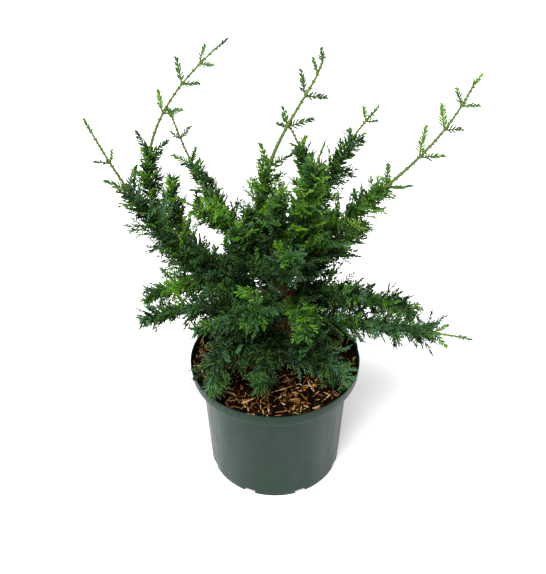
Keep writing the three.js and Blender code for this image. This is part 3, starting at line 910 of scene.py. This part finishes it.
def soil_height(x, y):
    """Height of the compost's surface, flat round the trunk's foot."""
    waves = (math.sin(x / LUMP_WAVE + math.sin(y / LUMP_SWEEP))
             + math.sin(y / LUMP_WAVE - x / LUMP_SWEEP))
    rest = math.hypot(x - TRUNK_FOOT[0], y - TRUNK_FOOT[1])
    ease_in = min(1, max(0, (rest - FOOT_PATCH) / FOOT_PATCH))
    level = 0.5 * SOIL_LUMP * waves * ease_in ** 2 * (3 - 2 * ease_in)
    grain = noise.fractal(Vector((x / SOIL_GRAIN, y / SOIL_GRAIN, 0.5)), *GRAIN_NOISE)
    return SOIL + level + GRAIN_HEIGHT * grain


def sliver(draw):
    """A bent, tapered strip of bark, one unit long, wide and thick."""
    bm = bmesh.new()
    bmesh.ops.create_cube(bm, size=1)
    long_edges = [edge for edge in bm.edges if rise(edge, 0) > 0.5]
    bmesh.ops.subdivide_edges(bm, edges=long_edges, cuts=2, use_grid_fill=True)
    bend, lift = draw.uniform(*SLIVER_BEND), draw.uniform(*SLIVER_LIFT)
    blunt = draw.uniform(*SLIVER_BLUNT)
    for vert in bm.verts:
        out = abs(vert.co.x) * 2
        width = lerp(1, blunt, out ** 2)
        vert.co.y = vert.co.y * width + bend * out ** 2 * 0.5 + draw.uniform(*SLIVER_RAGGED)
        vert.co.z = vert.co.z * width + lift * out ** 2 * 0.4
        vert.co.x += draw.uniform(*SLIVER_UNEVEN)
    return triangles_of(bm)


def chip(draw):
    """A broken flake of bark, one unit long, wide and thick."""
    bm = bmesh.new()
    bmesh.ops.create_cube(bm, size=1)
    for vert in bm.verts:
        vert.co += Vector(draw.uniform(*CHIP_BROKEN, 3))
    return triangles_of(bm)


def crumb(draw):
    """A lumpy crumb, one unit across."""
    bm = bmesh.new()
    bmesh.ops.create_icosphere(bm, subdivisions=1, radius=0.5)
    for vert in bm.verts:
        vert.co *= draw.uniform(*CRUMB_LUMPS)
    return triangles_of(bm)


def strewn(draw, count, sizes, rim, lift):
    """Origins and axes of things lying at random on the compost, inside its rim."""
    origins, axes = [], []
    while len(origins) < count:
        angle = draw.uniform(0, 2 * math.pi)
        out = rim * math.sqrt(draw.uniform(0, 1))
        x, y = out * math.cos(angle), out * math.sin(angle)
        spans = [draw.uniform(*span) for span in sizes]
        yaw = draw.uniform(0, 2 * math.pi)
        ends = [math.hypot(x + half * math.cos(yaw), y + half * math.sin(yaw))
                for half in (-0.5 * spans[0], 0.5 * spans[0])]
        if max(ends) > rim:
            continue
        turn = (Matrix.Rotation(yaw, 3, "Z")
                @ Matrix.Rotation(draw.normal(0, STREWN_TILT), 3, "Y")
                @ Matrix.Rotation(draw.normal(0, 2 * STREWN_TILT), 3, "X"))
        origins.append((x, y, soil_height(x, y) + draw.uniform(*lift)))
        axes.append([np.array(way) * span for way, span in zip(turn.col, spans)])
    return np.array(origins), np.array(axes)


class CYPRESS_OT_compost(bpy.types.Operator):
    """Fill the pot with bark compost"""

    bl_idname = "cypress.compost"
    bl_label = "Compost"

    def execute(self, context):
        looks = context.scene.cypress_compost
        inset = WALL + GAP
        share = (SOIL - COLLAR_FOOT) / COLLAR_HEIGHT
        rim = lerp(COLLAR_RADIUS, RIM_RADIUS, share) - inset
        bm = turned([
            (0, FLOOR + GAP), (FOOT_RADIUS - inset, FLOOR + GAP),
            (SHOULDER_RADIUS - inset, COLLAR_FOOT + inset),
            (COLLAR_RADIUS - inset, COLLAR_FOOT + inset),
            *((rim * ring / SOIL_RINGS, SOIL) for ring in range(SOIL_RINGS, -1, -1))])
        for vert in bm.verts:
            if vert.co.z > (SOIL - GAP) * MM:
                vert.co.z = soil_height(vert.co.x / MM, vert.co.y / MM) * MM
        mesh = mesh_from(bm)
        smooth(mesh, CRISP_ROUGH)
        peat, _ = mottled_material("peat", looks.peat_light, looks.peat, PEAT_CLOUDS,
                                   roughness=0.9, gloss=0.0, bump=1.0)
        new_piece("compost_bed", mesh, peat, "compost", ["compost"])

        draw = np.random.default_rng(SEED)
        heaps = [Heap() for _ in BARK_TINTS]
        kinds = (([sliver(draw) for _ in range(SLIVER_SHAPES)], looks.slivers, *SLIVERS),
                 ([chip(draw) for _ in range(CHIP_SHAPES)], looks.chips, *CHIPS),
                 ([crumb(draw) for _ in range(CRUMB_SHAPES)], looks.crumbs, *CRUMBS))
        for templates, count, sizes, lift, deal in kinds:
            origins, axes = strewn(draw, count, sizes, rim - GAP, lift)
            shape = draw.integers(len(templates), size=count)
            tint = draw.choice(len(heaps), size=count, p=deal)
            for which, template in enumerate(templates):
                for number, heap in enumerate(heaps):
                    picked = (shape == which) & (tint == number)
                    heap.add(template, origins[picked], axes[picked])
        for name, heap in zip(BARK_TINTS, heaps):
            bark = plain_material(f"bark_{name}", getattr(looks, name), roughness=0.75, gloss=0.03)
            new_piece(f"compost_{name}", heap.mesh(), bark, "compost")
        return {"FINISHED"}


# --- Trunk and boughs ---

def sections_along(curve, shares):
    """Sections square to a curve, turned no more than the curve itself turns."""
    across = np.cross(curve.along(shares[0]), (0, 1, 0))
    for spot, way in zip(curve.at(shares), curve.along(shares)):
        across = unit(across - way * across.dot(way))
        yield spot, across, np.cross(way, across)


def limb_shape(curve, end, radius, sides, steps, relief):
    """A round limb along a curve, with bark relief, and its radius at each point."""
    shares = np.linspace(0, end, steps + 1)
    rows = list(sections_along(curve, shares))
    bm = bmesh.new()
    bmesh.ops.create_cone(bm, cap_ends=True, segments=sides, radius1=1, radius2=1, depth=1)
    uprights = [edge for edge in bm.edges if rise(edge) > 0.5]
    bmesh.ops.subdivide_edges(bm, edges=uprights, cuts=steps - 1, use_grid_fill=True)
    girths = []
    for vert in bm.verts:
        x, y, height = vert.co
        step = round((height + 0.5) * steps)
        spot, across, third = rows[step]
        run = shares[step] * curve.length
        girths.append(radius(run))
        ridge = relief(girths[-1], run, math.atan2(y, x))
        vert.co = Vector(spot + (across * x + third * y) * (girths[-1] + ridge))
    return *triangles_of(bm), girths


def bark_relief(looks, seed):
    """Long fibrous ridges that run up a limb, lower where it is thin."""
    def relief(size, run, angle):
        def at(fineness, length):
            return Vector((fineness * math.cos(angle), fineness * math.sin(angle),
                           run / length + seed))

        strands = noise.fractal(at(RIDGE_FINENESS, RIDGE_RUN) * RIDGE_SCALE, *RIDGE_NOISE)
        flakes = noise.noise(at(FLAKE_FINENESS, FLAKE_RUN))
        height = looks.relief / MM * min(1, size / FULL_GIRTH)
        return height * (strands + FLAKE_SHARE * flakes)
    return relief


class CYPRESS_OT_trunk(bpy.types.Operator):
    """Grow the leaning trunk with its flared foot"""

    bl_idname = "cypress.trunk"
    bl_label = "Trunk"

    def execute(self, context):
        looks = context.scene.cypress_wood

        def radius(run):
            return trunk_radius(run) * (1 + BUTTRESS * math.exp(-run / FLARE_HEIGHT))

        heap = Heap()
        heap.gather(*limb_shape(trunk_curve, 1, radius, TRUNK_SIDES, TRUNK_STEPS,
                                bark_relief(looks, TRUNK_GRAIN)))
        new_piece("trunk_bark", heap.mesh(), wood_material(looks), "bark", ["trunk"])
        return {"FINISHED"}


class CYPRESS_OT_boughs(bpy.types.Operator):
    """Grow the boughs out to their tips"""

    bl_idname = "cypress.boughs"
    bl_label = "Boughs"

    def execute(self, context):
        looks = context.scene.cypress_wood
        heap = Heap()
        for index, limb in enumerate(limbs):
            swell = BOUGH_SWELL if limb.bough.bare else 0

            def radius(run, limb=limb, swell=swell):
                return limb.radius(run) + swell * math.exp(-run / SWELL_RUN)

            end = 1 - 0.5 * (TIP_SPRAY - STEM_LEAD) / limb.length
            heap.gather(*limb_shape(limb.curve, end, radius, BOUGH_SIDES,
                                    math.ceil(limb.length / BOUGH_STEP),
                                    bark_relief(looks, BOUGH_GRAIN + 3 * index)))
        nodes = [f"bough_{limb.bough.name}" for limb in limbs if limb.bough.bare]
        new_piece("bough_stems", heap.mesh(), wood_material(looks), "bark", nodes)
        return {"FINISHED"}


# --- Foliage ---

AHEAD = Matrix.Rotation(math.pi / 2, 4, "Y")


def tube(bm, start, end, foot, head, sides=3, turn=AHEAD, closed=False):
    """A tapered ring of faces along X."""
    bmesh.ops.create_cone(
        bm, cap_ends=closed, segments=sides, radius1=foot, radius2=head, depth=end - start,
        matrix=Matrix.Translation(((start + end) / 2, 0, 0)) @ turn)


def spike(bm, base, way, reach):
    """An open-footed scale from a point on X along a way."""
    way = Vector(way)
    shift = Matrix.Translation(Vector((base, 0, 0)) + way.normalized() * reach / 2)
    bmesh.ops.create_cone(bm, cap_ends=False, segments=3, radius1=0.5, radius2=0, depth=reach,
                          matrix=shift @ way.to_track_quat("Z", "Y").to_matrix().to_4x4())


def cut_to_one(bm, reach, girth):
    """A shape made at its real size, squeezed to one unit long and one thick."""
    bmesh.ops.remove_doubles(bm, verts=bm.verts, dist=1e-5)
    for vert in bm.verts:
        vert.co.x /= reach
        vert.co.y /= girth
        vert.co.z /= girth
    return triangles_of(bm)


def twiglet(draw):
    """A blunt twiglet of scale leaves, with a few scales that part to both sides."""
    bm = bmesh.new()
    turn = AHEAD @ Matrix.Rotation(draw.uniform(0, 6), 4, "Z")
    bend = draw.uniform(*TWIGLET_BEND)
    for ring in TWIGLET_RINGS:
        tube(bm, *ring, turn=turn)
    for number in range(SCALES):
        side = 1 if number % 2 else -1
        way = (1, side * draw.uniform(*SCALE_SPREAD), draw.uniform(*SCALE_LIFT))
        base = TWIGLET * lerp(*SCALE_STANDS, number / SCALES)
        spike(bm, base, way, TWIGLET * SCALE_LENGTH)
    for vert in bm.verts:
        vert.co.y += bend * (vert.co.x / TWIGLET) ** 2
    return cut_to_one(bm, TWIGLET, THICKNESS)


def bud(draw):
    """A blunt knobbly toe of an open shoot."""
    bm = bmesh.new()
    for ring in BUD_RINGS:
        tube(bm, *ring, sides=5, closed=ring is BUD_RINGS[-1])
    for number in range(BUD_SCALES):
        side = 1 if number % 2 else -1
        way = (BUD_SCALE_AHEAD, side * draw.uniform(*BUD_SCALE_SPREAD),
               draw.uniform(*BUD_SCALE_LIFT))
        base = BUD_SCALE_START + BUD_SCALE_STEP * number
        spike(bm, base, way, draw.uniform(*BUD_SCALE_LENGTHS))
    return cut_to_one(bm, BUD, BUD_THICKNESS)


def rod():
    """A straight piece of twig, one unit long and one in radius, a little thinner ahead."""
    bm = bmesh.new()
    tube(bm, 0, 1, 1, TWIG_TAPER)
    return triangles_of(bm)


def leaned(along, out, angle):
    """Ways between two directions, at angles from the first."""
    angle = np.asarray(angle)[..., None]
    return along * np.cos(angle) + out * np.sin(angle)


def feather_outline(share):
    """How long twiglets are along a feather: shorter at its foot and towards its tip."""
    return np.minimum(1, 0.6 + 1.4 * share) * np.minimum(1, 1.8 - 1.35 * share)


def on_stem(curve, runs, turn):
    """Spots on a stem's middle line, its way there, and ways out, turned round it."""
    share = runs / curve.length
    along = curve.along(share)
    side = unit(np.cross(along, (0, 0, 1)))
    return curve.at(share), along, leaned(side, np.cross(along, side), turn)


class Foliage:
    """All twiglets and twigs of the crown, gathered by colour."""

    def __init__(self, looks):
        self.draw = np.random.default_rng(SEED + 1)
        self.shapes = {"twiglet": [twiglet(self.draw) for _ in range(SHAPES)],
                       "bud": [bud(self.draw) for _ in range(BUD_SHAPES)]}
        self.leaves = {name: [] for name in TINTS}
        self.twigs = Heap()
        self.twig_shape = rod()
        self.twiglet, self.thickness, self.spacing = (
            size / MM for size in (looks.twiglet, looks.thickness, looks.spacing))

    def set_leaves(self, kind, origins, ways, normals, lengths, thickness, tint):
        """Twiglets from their roots, ways, upper sides and lengths."""
        flats = unit(np.cross(normals, ways))
        normals = np.cross(ways, flats)
        size = np.broadcast_to(thickness, len(origins))[:, None]
        axes = np.stack([ways * lengths[:, None], flats * size, normals * size], axis=1)
        shape = self.draw.integers(len(self.shapes[kind]), size=len(origins))
        chance = self.draw.random(len(origins))
        tints = np.where(chance < STRAY_SHARE, LIGHTER[tint], tint)
        tints = np.where(chance > 1 - STRAY_SHARE, DARKER[tint], tints)
        for number in np.unique(tints):
            picked = tints == number
            self.leaves[TINTS[number]].append(
                (kind, shape[picked], origins[picked], axes[picked]))

    def set_twig(self, spots, radius, tip_radius):
        """A twig through a few points."""
        ways = np.diff(spots, axis=0)
        reach = np.linalg.norm(ways, axis=1)[:, None]
        ways = ways / reach
        side = unit(np.cross(ways, ODD_WAY))
        sizes = np.linspace(radius, tip_radius, len(ways))[:, None]
        axes = [ways * (reach + TWIG_OVERLAP), side * sizes, np.cross(ways, side) * sizes]
        self.twigs.add(self.twig_shape, spots[:-1], np.stack(axes, axis=1))

    def feather(self, root, way, across, reach, half, tint, bow, sweep):
        """A twig with twiglets on both sides, narrower towards its tip."""
        draw = self.draw
        normal = np.cross(way, across)
        bend = normal * bow + across * sweep

        def spot(share):
            share = np.asarray(share)[..., None]
            return root + reach * (way * share + bend * share ** 2)

        room = 1 - FEATHER_LEAD
        count = max(4, 2 * int(reach * room / self.spacing))
        steps = np.arange(count)
        share = FEATHER_LEAD + room * (steps + draw.uniform(0.1, 0.9, count)) / count
        ahead = unit(way + 2 * bend * share[:, None])
        sign = np.where(steps % 2, 1.0, -1.0)[:, None]
        side = leaned(across * sign, normal, draw.normal(0, OFF_PLANE, count))
        side = unit(side - ahead * np.sum(side * ahead, axis=1, keepdims=True))
        opened = lerp(*FEATHER_OPENING, share) + draw.normal(0, OPENING_JITTER, count)
        ways = leaned(ahead, side, np.radians(opened))
        lengths = half * feather_outline(share) * draw.uniform(*FEATHER_LENGTHS, count)
        self.set_leaves("twiglet", spot(share), ways, np.cross(ways, side), lengths,
                        self.thickness * draw.uniform(*FEATHER_GIRTHS, count), tint)
        end = unit(way + 2 * bend)[None]
        self.set_leaves("twiglet", spot(np.array([1.0])) - end, end, normal[None],
                        np.array([FEATHER_END * half]), self.thickness, tint)
        self.set_twig(spot(np.linspace(0, 1, 3)), *FEATHER_TWIG)
        return spot

    def spray(self, root, way, face, reach, tint, fans=FANS):
        """A feather with pairs of smaller feathers, its fans, standing off to both sides."""
        draw = self.draw
        across = unit(np.cross(face, way))
        normal = np.cross(way, across)
        spot = self.feather(root, way, across, reach, self.twiglet, tint,
                            draw.normal(0, FEATHER_BOW), draw.normal(0, FEATHER_SWEEP))
        for number in range(2 * fans):
            sign = -1 if number % 2 else 1
            share = lerp(*FAN_STANDS, (number + draw.uniform(0.2, 0.8)) / (2 * fans))
            angle = math.radians(draw.normal(FAN_ANGLE, FAN_JITTER))
            out = unit(way * math.cos(angle) + across * sign * math.sin(angle)
                       + normal * draw.normal(0, FAN_LIFT))
            size = reach * lerp(*FAN_SIZES, share) * draw.uniform(*FAN_RANGE)
            self.feather(spot(share), out, unit(np.cross(normal, out)), size,
                         FAN_TWIGLET * self.twiglet, tint, draw.normal(0, FAN_BOW),
                         -FAN_SWEEP * sign)

    def sprig(self, root, way, face, reach, tint):
        """A short open sprig with pairs of blunt toes, and one at its end."""
        draw = self.draw
        across = unit(np.cross(face, way))
        normal = np.cross(way, across)
        bend = normal * draw.normal(0, SPRIG_BEND) + across * draw.normal(0, SPRIG_BEND)
        pairs = 2 * max(2, round(reach / SPRIG_TOES))
        count = pairs + 1
        share = np.append(lerp(*TOE_STANDS, np.arange(pairs) / (pairs - 1)), END_TOE_STAND)
        spots = root + reach * (way * share[:, None] + bend * share[:, None] ** 2)
        ahead = unit(way + 2 * bend * share[:, None])
        sign = np.where(np.arange(count) % 2, 1.0, -1.0)[:, None]
        side = unit(across * sign + normal * draw.normal(0, TOE_LIFT, (count, 1)))
        opened = np.radians(
            lerp(*TOE_OPENING, share) + draw.normal(0, TOE_OPENING_JITTER, count))
        opened[-1] = 0
        ways = unit(leaned(ahead, side, opened))
        toe = min(SPRIG_TOE, 0.24 * reach + 1)
        lengths = toe * lerp(*TOE_SIZES, share ** 2) * draw.uniform(*TOE_LENGTHS, count)
        lengths[-1] = 0.16 * reach + 2
        self.set_leaves("bud", spots, ways, np.cross(ways, side), lengths,
                        draw.uniform(*TOE_GIRTHS, count) * BUD_THICKNESS, tint)
        ends = np.linspace(0, 1, 3)[:, None]
        self.set_twig(root + reach * (way * ends + bend * ends ** 2), *SPRIG_TWIG)

    def brush(self, limb, start, end, tint):
        """Twiglets that stand straight on the stem, all round it."""
        draw = self.draw
        count = int((end - start) * STEM_TWIGLETS)
        steps = np.arange(count)
        runs = start + (end - start) * (steps + draw.uniform(0, 1, count)) / count
        turn = np.radians(GOLDEN_ANGLE) * steps + draw.normal(0, BRUSH_TURN, count)
        spots, along, out = on_stem(limb.curve, runs, turn)
        ways = leaned(along, out, np.radians(draw.normal(BRUSH_ANGLE, BRUSH_JITTER, count)))
        spots = spots + out * (limb.radius(runs) * BRUSH_SEAT)[:, None]
        self.set_leaves("twiglet", spots, ways, np.cross(ways, out),
                        self.twiglet * draw.uniform(*BRUSH_LENGTHS, count), self.thickness,
                        tint)

    def knobs(self, limb, start, end, tint):
        """Small scale leaves that clasp an open stem in pairs."""
        draw = self.draw
        steps = np.repeat(np.arange(int((end - start) / KNOB_SPACING)), 2)
        count = len(steps)
        runs = start + KNOB_SPACING * (steps + 0.5)
        turn = (np.arange(count) * math.pi + steps * math.pi / 2
                + draw.normal(0, KNOB_TURN, count))
        spots, along, out = on_stem(limb.curve, runs, turn)
        ways = unit(along + KNOB_LEAN * out)
        spots = spots + out * (limb.radius(runs) * KNOB_SEAT)[:, None]
        self.set_leaves("bud", spots, ways, np.cross(ways, out),
                        draw.uniform(*KNOB_LENGTHS, count), KNOB_THICKNESS, tint)

    def pieces(self, tint):
        """The tint's twiglets in heaps that end soon after PIECE_FACES triangles."""
        heap, size = Heap(), 0
        for kind, shape, origins, axes in self.leaves[tint]:
            for which, template in enumerate(self.shapes[kind]):
                picked = shape == which
                heap.add(template, origins[picked], axes[picked])
                size += picked.sum() * len(template[1])
            if size > PIECE_FACES:
                yield heap
                heap, size = Heap(), 0
        if size:
            yield heap


def dealt(draw, deal):
    """A tint from a deal of them."""
    return draw.choice(len(TINTS), p=deal)


def aged_and_shaded(draw, tint, root):
    """A spray's tint, often darker low in the heart and lighter high up or far out, partly as older and
    younger foliage and partly as painted shade and light.
    """
    grown_and_lit = root[2] - SOIL + AGE_AND_SHADE_REACH * math.hypot(root[0], root[1])
    if draw.random() > AGED_AND_SHADED_SHARE:
        return tint
    if grown_and_lit < OLD_AND_SHADED_BELOW:
        return DARKER[tint]
    return LIGHTER[tint] if grown_and_lit > YOUNG_AND_LIT_ABOVE else tint


def find_room(crown, index, limb, plume):
    """The first turn and size at which a plume keeps to its own space, if there is one.

    It is given as the plume's root, way, face and reach.
    """
    run, roll, spread, reach, twist, flat = plume
    spread, twist = math.radians(spread), math.radians(twist)
    root, along = limb.curve.at(run / limb.length), limb.curve.along(run / limb.length)
    side = unit(np.cross(along, LIGHT_SIDE if flat else (0, 0, 1)))
    other = np.cross(along, side)
    for turn in ROLL_TRIES:
        outward = leaned(side, other, math.radians(roll + turn))
        way = unit(leaned(along, outward, spread))
        face = (leaned(outward, np.cross(way, outward), twist)
                + way * way.dot(outward) * (1 - math.cos(twist)))
        across = unit(np.cross(face, way))
        for size in (reach * shrink for shrink in SHRINK_STEPS):
            if size < SHORTEST_SPRAY:
                break
            marks = np.array([root + way * size * ahead + across * PLUME_HALF * size * beside
                              for ahead, beside in PLUME_MARKS])
            if crown.belongs(marks, index):
                return root, way, face, size
    return None


def between(draw, plume):
    """Further plumes on the stem between one station and the next."""
    run, roll, _, reach, _, _ = plume
    for number in range(BETWEEN):
        share = (number + 1) / (BETWEEN + 1)
        yield (run + PLUME_SPACING * share,
               roll + 360 * share + draw.uniform(*BETWEEN_ROLL),
               PLUME_ANGLE + draw.uniform(*BETWEEN_SPREAD),
               reach * draw.uniform(*BETWEEN_REACH), draw.uniform(*BETWEEN_TWIST), False)


def inner(draw, plume, near, low):
    """Short plumes that cover the stem between one station and the next."""
    count, spread, reach = (HEART_INNER, HEART_SPREAD, HEART_REACH) if near else (
        INNER, INNER_SPREAD, INNER_REACH)
    for _ in range(count):
        yield (plume[0] + draw.uniform(0, PLUME_SPACING), draw.uniform(0, 360),
               draw.uniform(*spread), draw.uniform(*(LOW_REACH if low else reach)),
               draw.uniform(*INNER_TWIST), False)


def grow_mass(foliage, crown, index, limb):
    """All sprays and sprigs of one bough."""
    draw, bough = foliage.draw, limb.bough
    deal = DEALS[bough.tint]
    full_end = limb.length - bough.open
    low = bough.tip[2] < LOW_TIP
    for plume in limb.plumes:
        if plume[0] > full_end:
            found = find_room(crown, index, limb, plume)
            if found:
                foliage.sprig(*found, dealt(draw, SHOOT_DEAL))
            continue
        near = low or plume[0] < lerp(limb.start, full_end, HEART_SHARE)
        sprays = [((plume,), FANS, False), (between(draw, plume), 0, False),
                  (inner(draw, plume, near, low), 0, True)]
        for extras, fans, shaded in sprays:
            for extra in extras:
                found = find_room(crown, index, limb, extra)
                if found:
                    tint = dealt(draw, deal)
                    # Plumes inside the crown are coloured two steps darker as painted shade.
                    tint = DARKER[DARKER[tint]] if shaded else aged_and_shaded(draw, tint, found[0])
                    foliage.spray(*found, tint, fans)
    # The brush on the lower part of the stem is a step darker: painted shade.
    for run in np.arange(limb.start or LEADER_START, full_end, BRUSH_STEP):
        tint = dealt(draw, deal)
        foliage.brush(limb, run, min(run + BRUSH_STEP, full_end),
                      DARKER[tint] if run < SHADED_STEM * full_end else tint)
    kind = foliage.spray
    if bough.open > OPEN_SHOOT:
        kind = foliage.sprig
        foliage.knobs(limb, full_end, limb.length - TIP_SPRAY / 2, draw.choice(KNOB_TINTS))
    base = limb.curve.at(1 - TIP_SPRAY / limb.length)
    way = unit(limb.curve.at(1.0) - base)
    face = unit(np.cross(way, np.cross((0, 0, 1), way)))
    kind(base, way, face, TIP_SPRAY, dealt(draw, SHOOT_DEAL))


class CYPRESS_OT_foliage(bpy.types.Operator):
    """Grow the twigs and scale leaves of every bough"""

    bl_idname = "cypress.foliage"
    bl_label = "Foliage"

    def execute(self, context):
        looks = context.scene.cypress_foliage
        crown = Crown()
        foliage = Foliage(looks)
        nodes = {tint: [] for tint in TINTS}
        for index, limb in enumerate(limbs):
            grow_mass(foliage, crown, index, limb)
            name = f"foliage_{limb.bough.name}"
            split = limb.bough.name == SPLIT_BOUGH
            nodes[limb.bough.tint] += [f"{name}_lower", f"{name}_upper"] if split else [name]
        slots = {"deep": "foliage_dark", "fresh": "foliage_bright"}
        for tint in TINTS:
            material = plain_material(
                f"leaves_{tint}", getattr(looks, tint), looks.roughness, looks.gloss)
            for number, heap in enumerate(foliage.pieces(tint)):
                new_piece(f"leaves_{tint}_{number + 1}", heap.mesh(), material,
                          slots.get(tint, f"foliage_{tint}"), () if number else nodes[tint])
        twig = plain_material("green_twig", looks.twig, roughness=0.7, gloss=looks.gloss)
        new_piece("twigs_green", foliage.twigs.mesh(), twig, "foliage_mid")
        return {"FINISHED"}


# --- Stage ---

CAMERA_SPOT = (-0.0023, -0.752, 0.830)
CAMERA_DOWN = 37.8
CAMERA_LENS = 56.45
LIGHT_WAY = (0.28, 0.42, -1)
FLOOR_SIZE = 6


class CYPRESS_OT_stage(bpy.types.Operator):
    """Set the floor, the lights and the camera"""

    bl_idname = "cypress.stage"
    bl_label = "Stage"

    def execute(self, context):
        scene = context.scene
        looks = scene.cypress_stage
        bm = bmesh.new()
        bmesh.ops.create_grid(bm, x_segments=1, y_segments=1, size=FLOOR_SIZE)
        paper = plain_material("floor", looks.floor, roughness=0.9)
        dress(paper, {"Emission Color": (1, 1, 1, 1), "Emission Strength": looks.glow})
        floor = put("floor", mesh_from(bm))
        floor.data.materials.append(paper)

        # The background looks white, and lights the plant with the sky's own strength.
        world = bpy.data.worlds.new("studio")
        world.use_nodes = True
        tree = world.node_tree
        seen = add_node(tree, "LightPath", {}, "Is Camera Ray")
        strength = add_node(tree, "MapRange", {"Value": seen, "To Min": looks.sky, "To Max": 1},
                            "Result")
        plug(tree, tree.nodes["Background"], {"Color": (1, 1, 1, 1), "Strength": strength})
        scene.world = world
        key = put("key", bpy.data.lights.new("key", "SUN"))
        key.data.energy = looks.key
        key.data.angle = looks.softness
        key.rotation_euler = Vector(LIGHT_WAY).to_track_quat("-Z", "Y").to_euler()

        camera = put("camera", bpy.data.cameras.new("camera"))
        camera.data.lens = CAMERA_LENS
        camera.location = CAMERA_SPOT
        camera.rotation_euler = (math.radians(90 - CAMERA_DOWN), 0, 0)
        scene.camera = camera
        scene.view_settings.view_transform = "Standard"
        return {"FINISHED"}


# --- Panel and registration ---

PIECES = (CYPRESS_OT_stage, CYPRESS_OT_pot, CYPRESS_OT_compost, CYPRESS_OT_trunk,
          CYPRESS_OT_boughs, CYPRESS_OT_foliage)
LOOKS = {
    "cypress_pot": PotLooks,
    "cypress_compost": CompostLooks,
    "cypress_wood": WoodLooks,
    "cypress_foliage": FoliageLooks,
    "cypress_stage": StageLooks,
}


class CYPRESS_PT_panel(bpy.types.Panel):
    """The plant's pieces and what can be changed on them"""

    bl_idname = "CYPRESS_PT_panel"
    bl_label = "Dwarf Hinoki Cypress"
    bl_space_type = "VIEW_3D"
    bl_region_type = "UI"
    bl_category = "Cypress"

    def draw(self, context):
        column = self.layout.column(align=True)
        for piece in PIECES:
            column.operator(piece.bl_idname)
        for name, group in LOOKS.items():
            box = self.layout.box()
            box.label(text=group.__doc__)
            for field in group.__annotations__:
                box.prop(getattr(context.scene, name), field)


def register():
    for group in LOOKS.values():
        bpy.utils.register_class(group)
    for name, group in LOOKS.items():
        setattr(bpy.types.Scene, name, PointerProperty(type=group))
    for kind in (*PIECES, CYPRESS_PT_panel):
        bpy.utils.register_class(kind)


def unregister():
    for kind in (CYPRESS_PT_panel, *reversed(PIECES)):
        bpy.utils.unregister_class(kind)
    for name, group in LOOKS.items():
        delattr(bpy.types.Scene, name)
        bpy.utils.unregister_class(group)


def main():
    register()
    for piece in PIECES:
        group, name = piece.bl_idname.split(".")
        getattr(getattr(bpy.ops, group), name)()


if __name__ == "__main__":
    main()
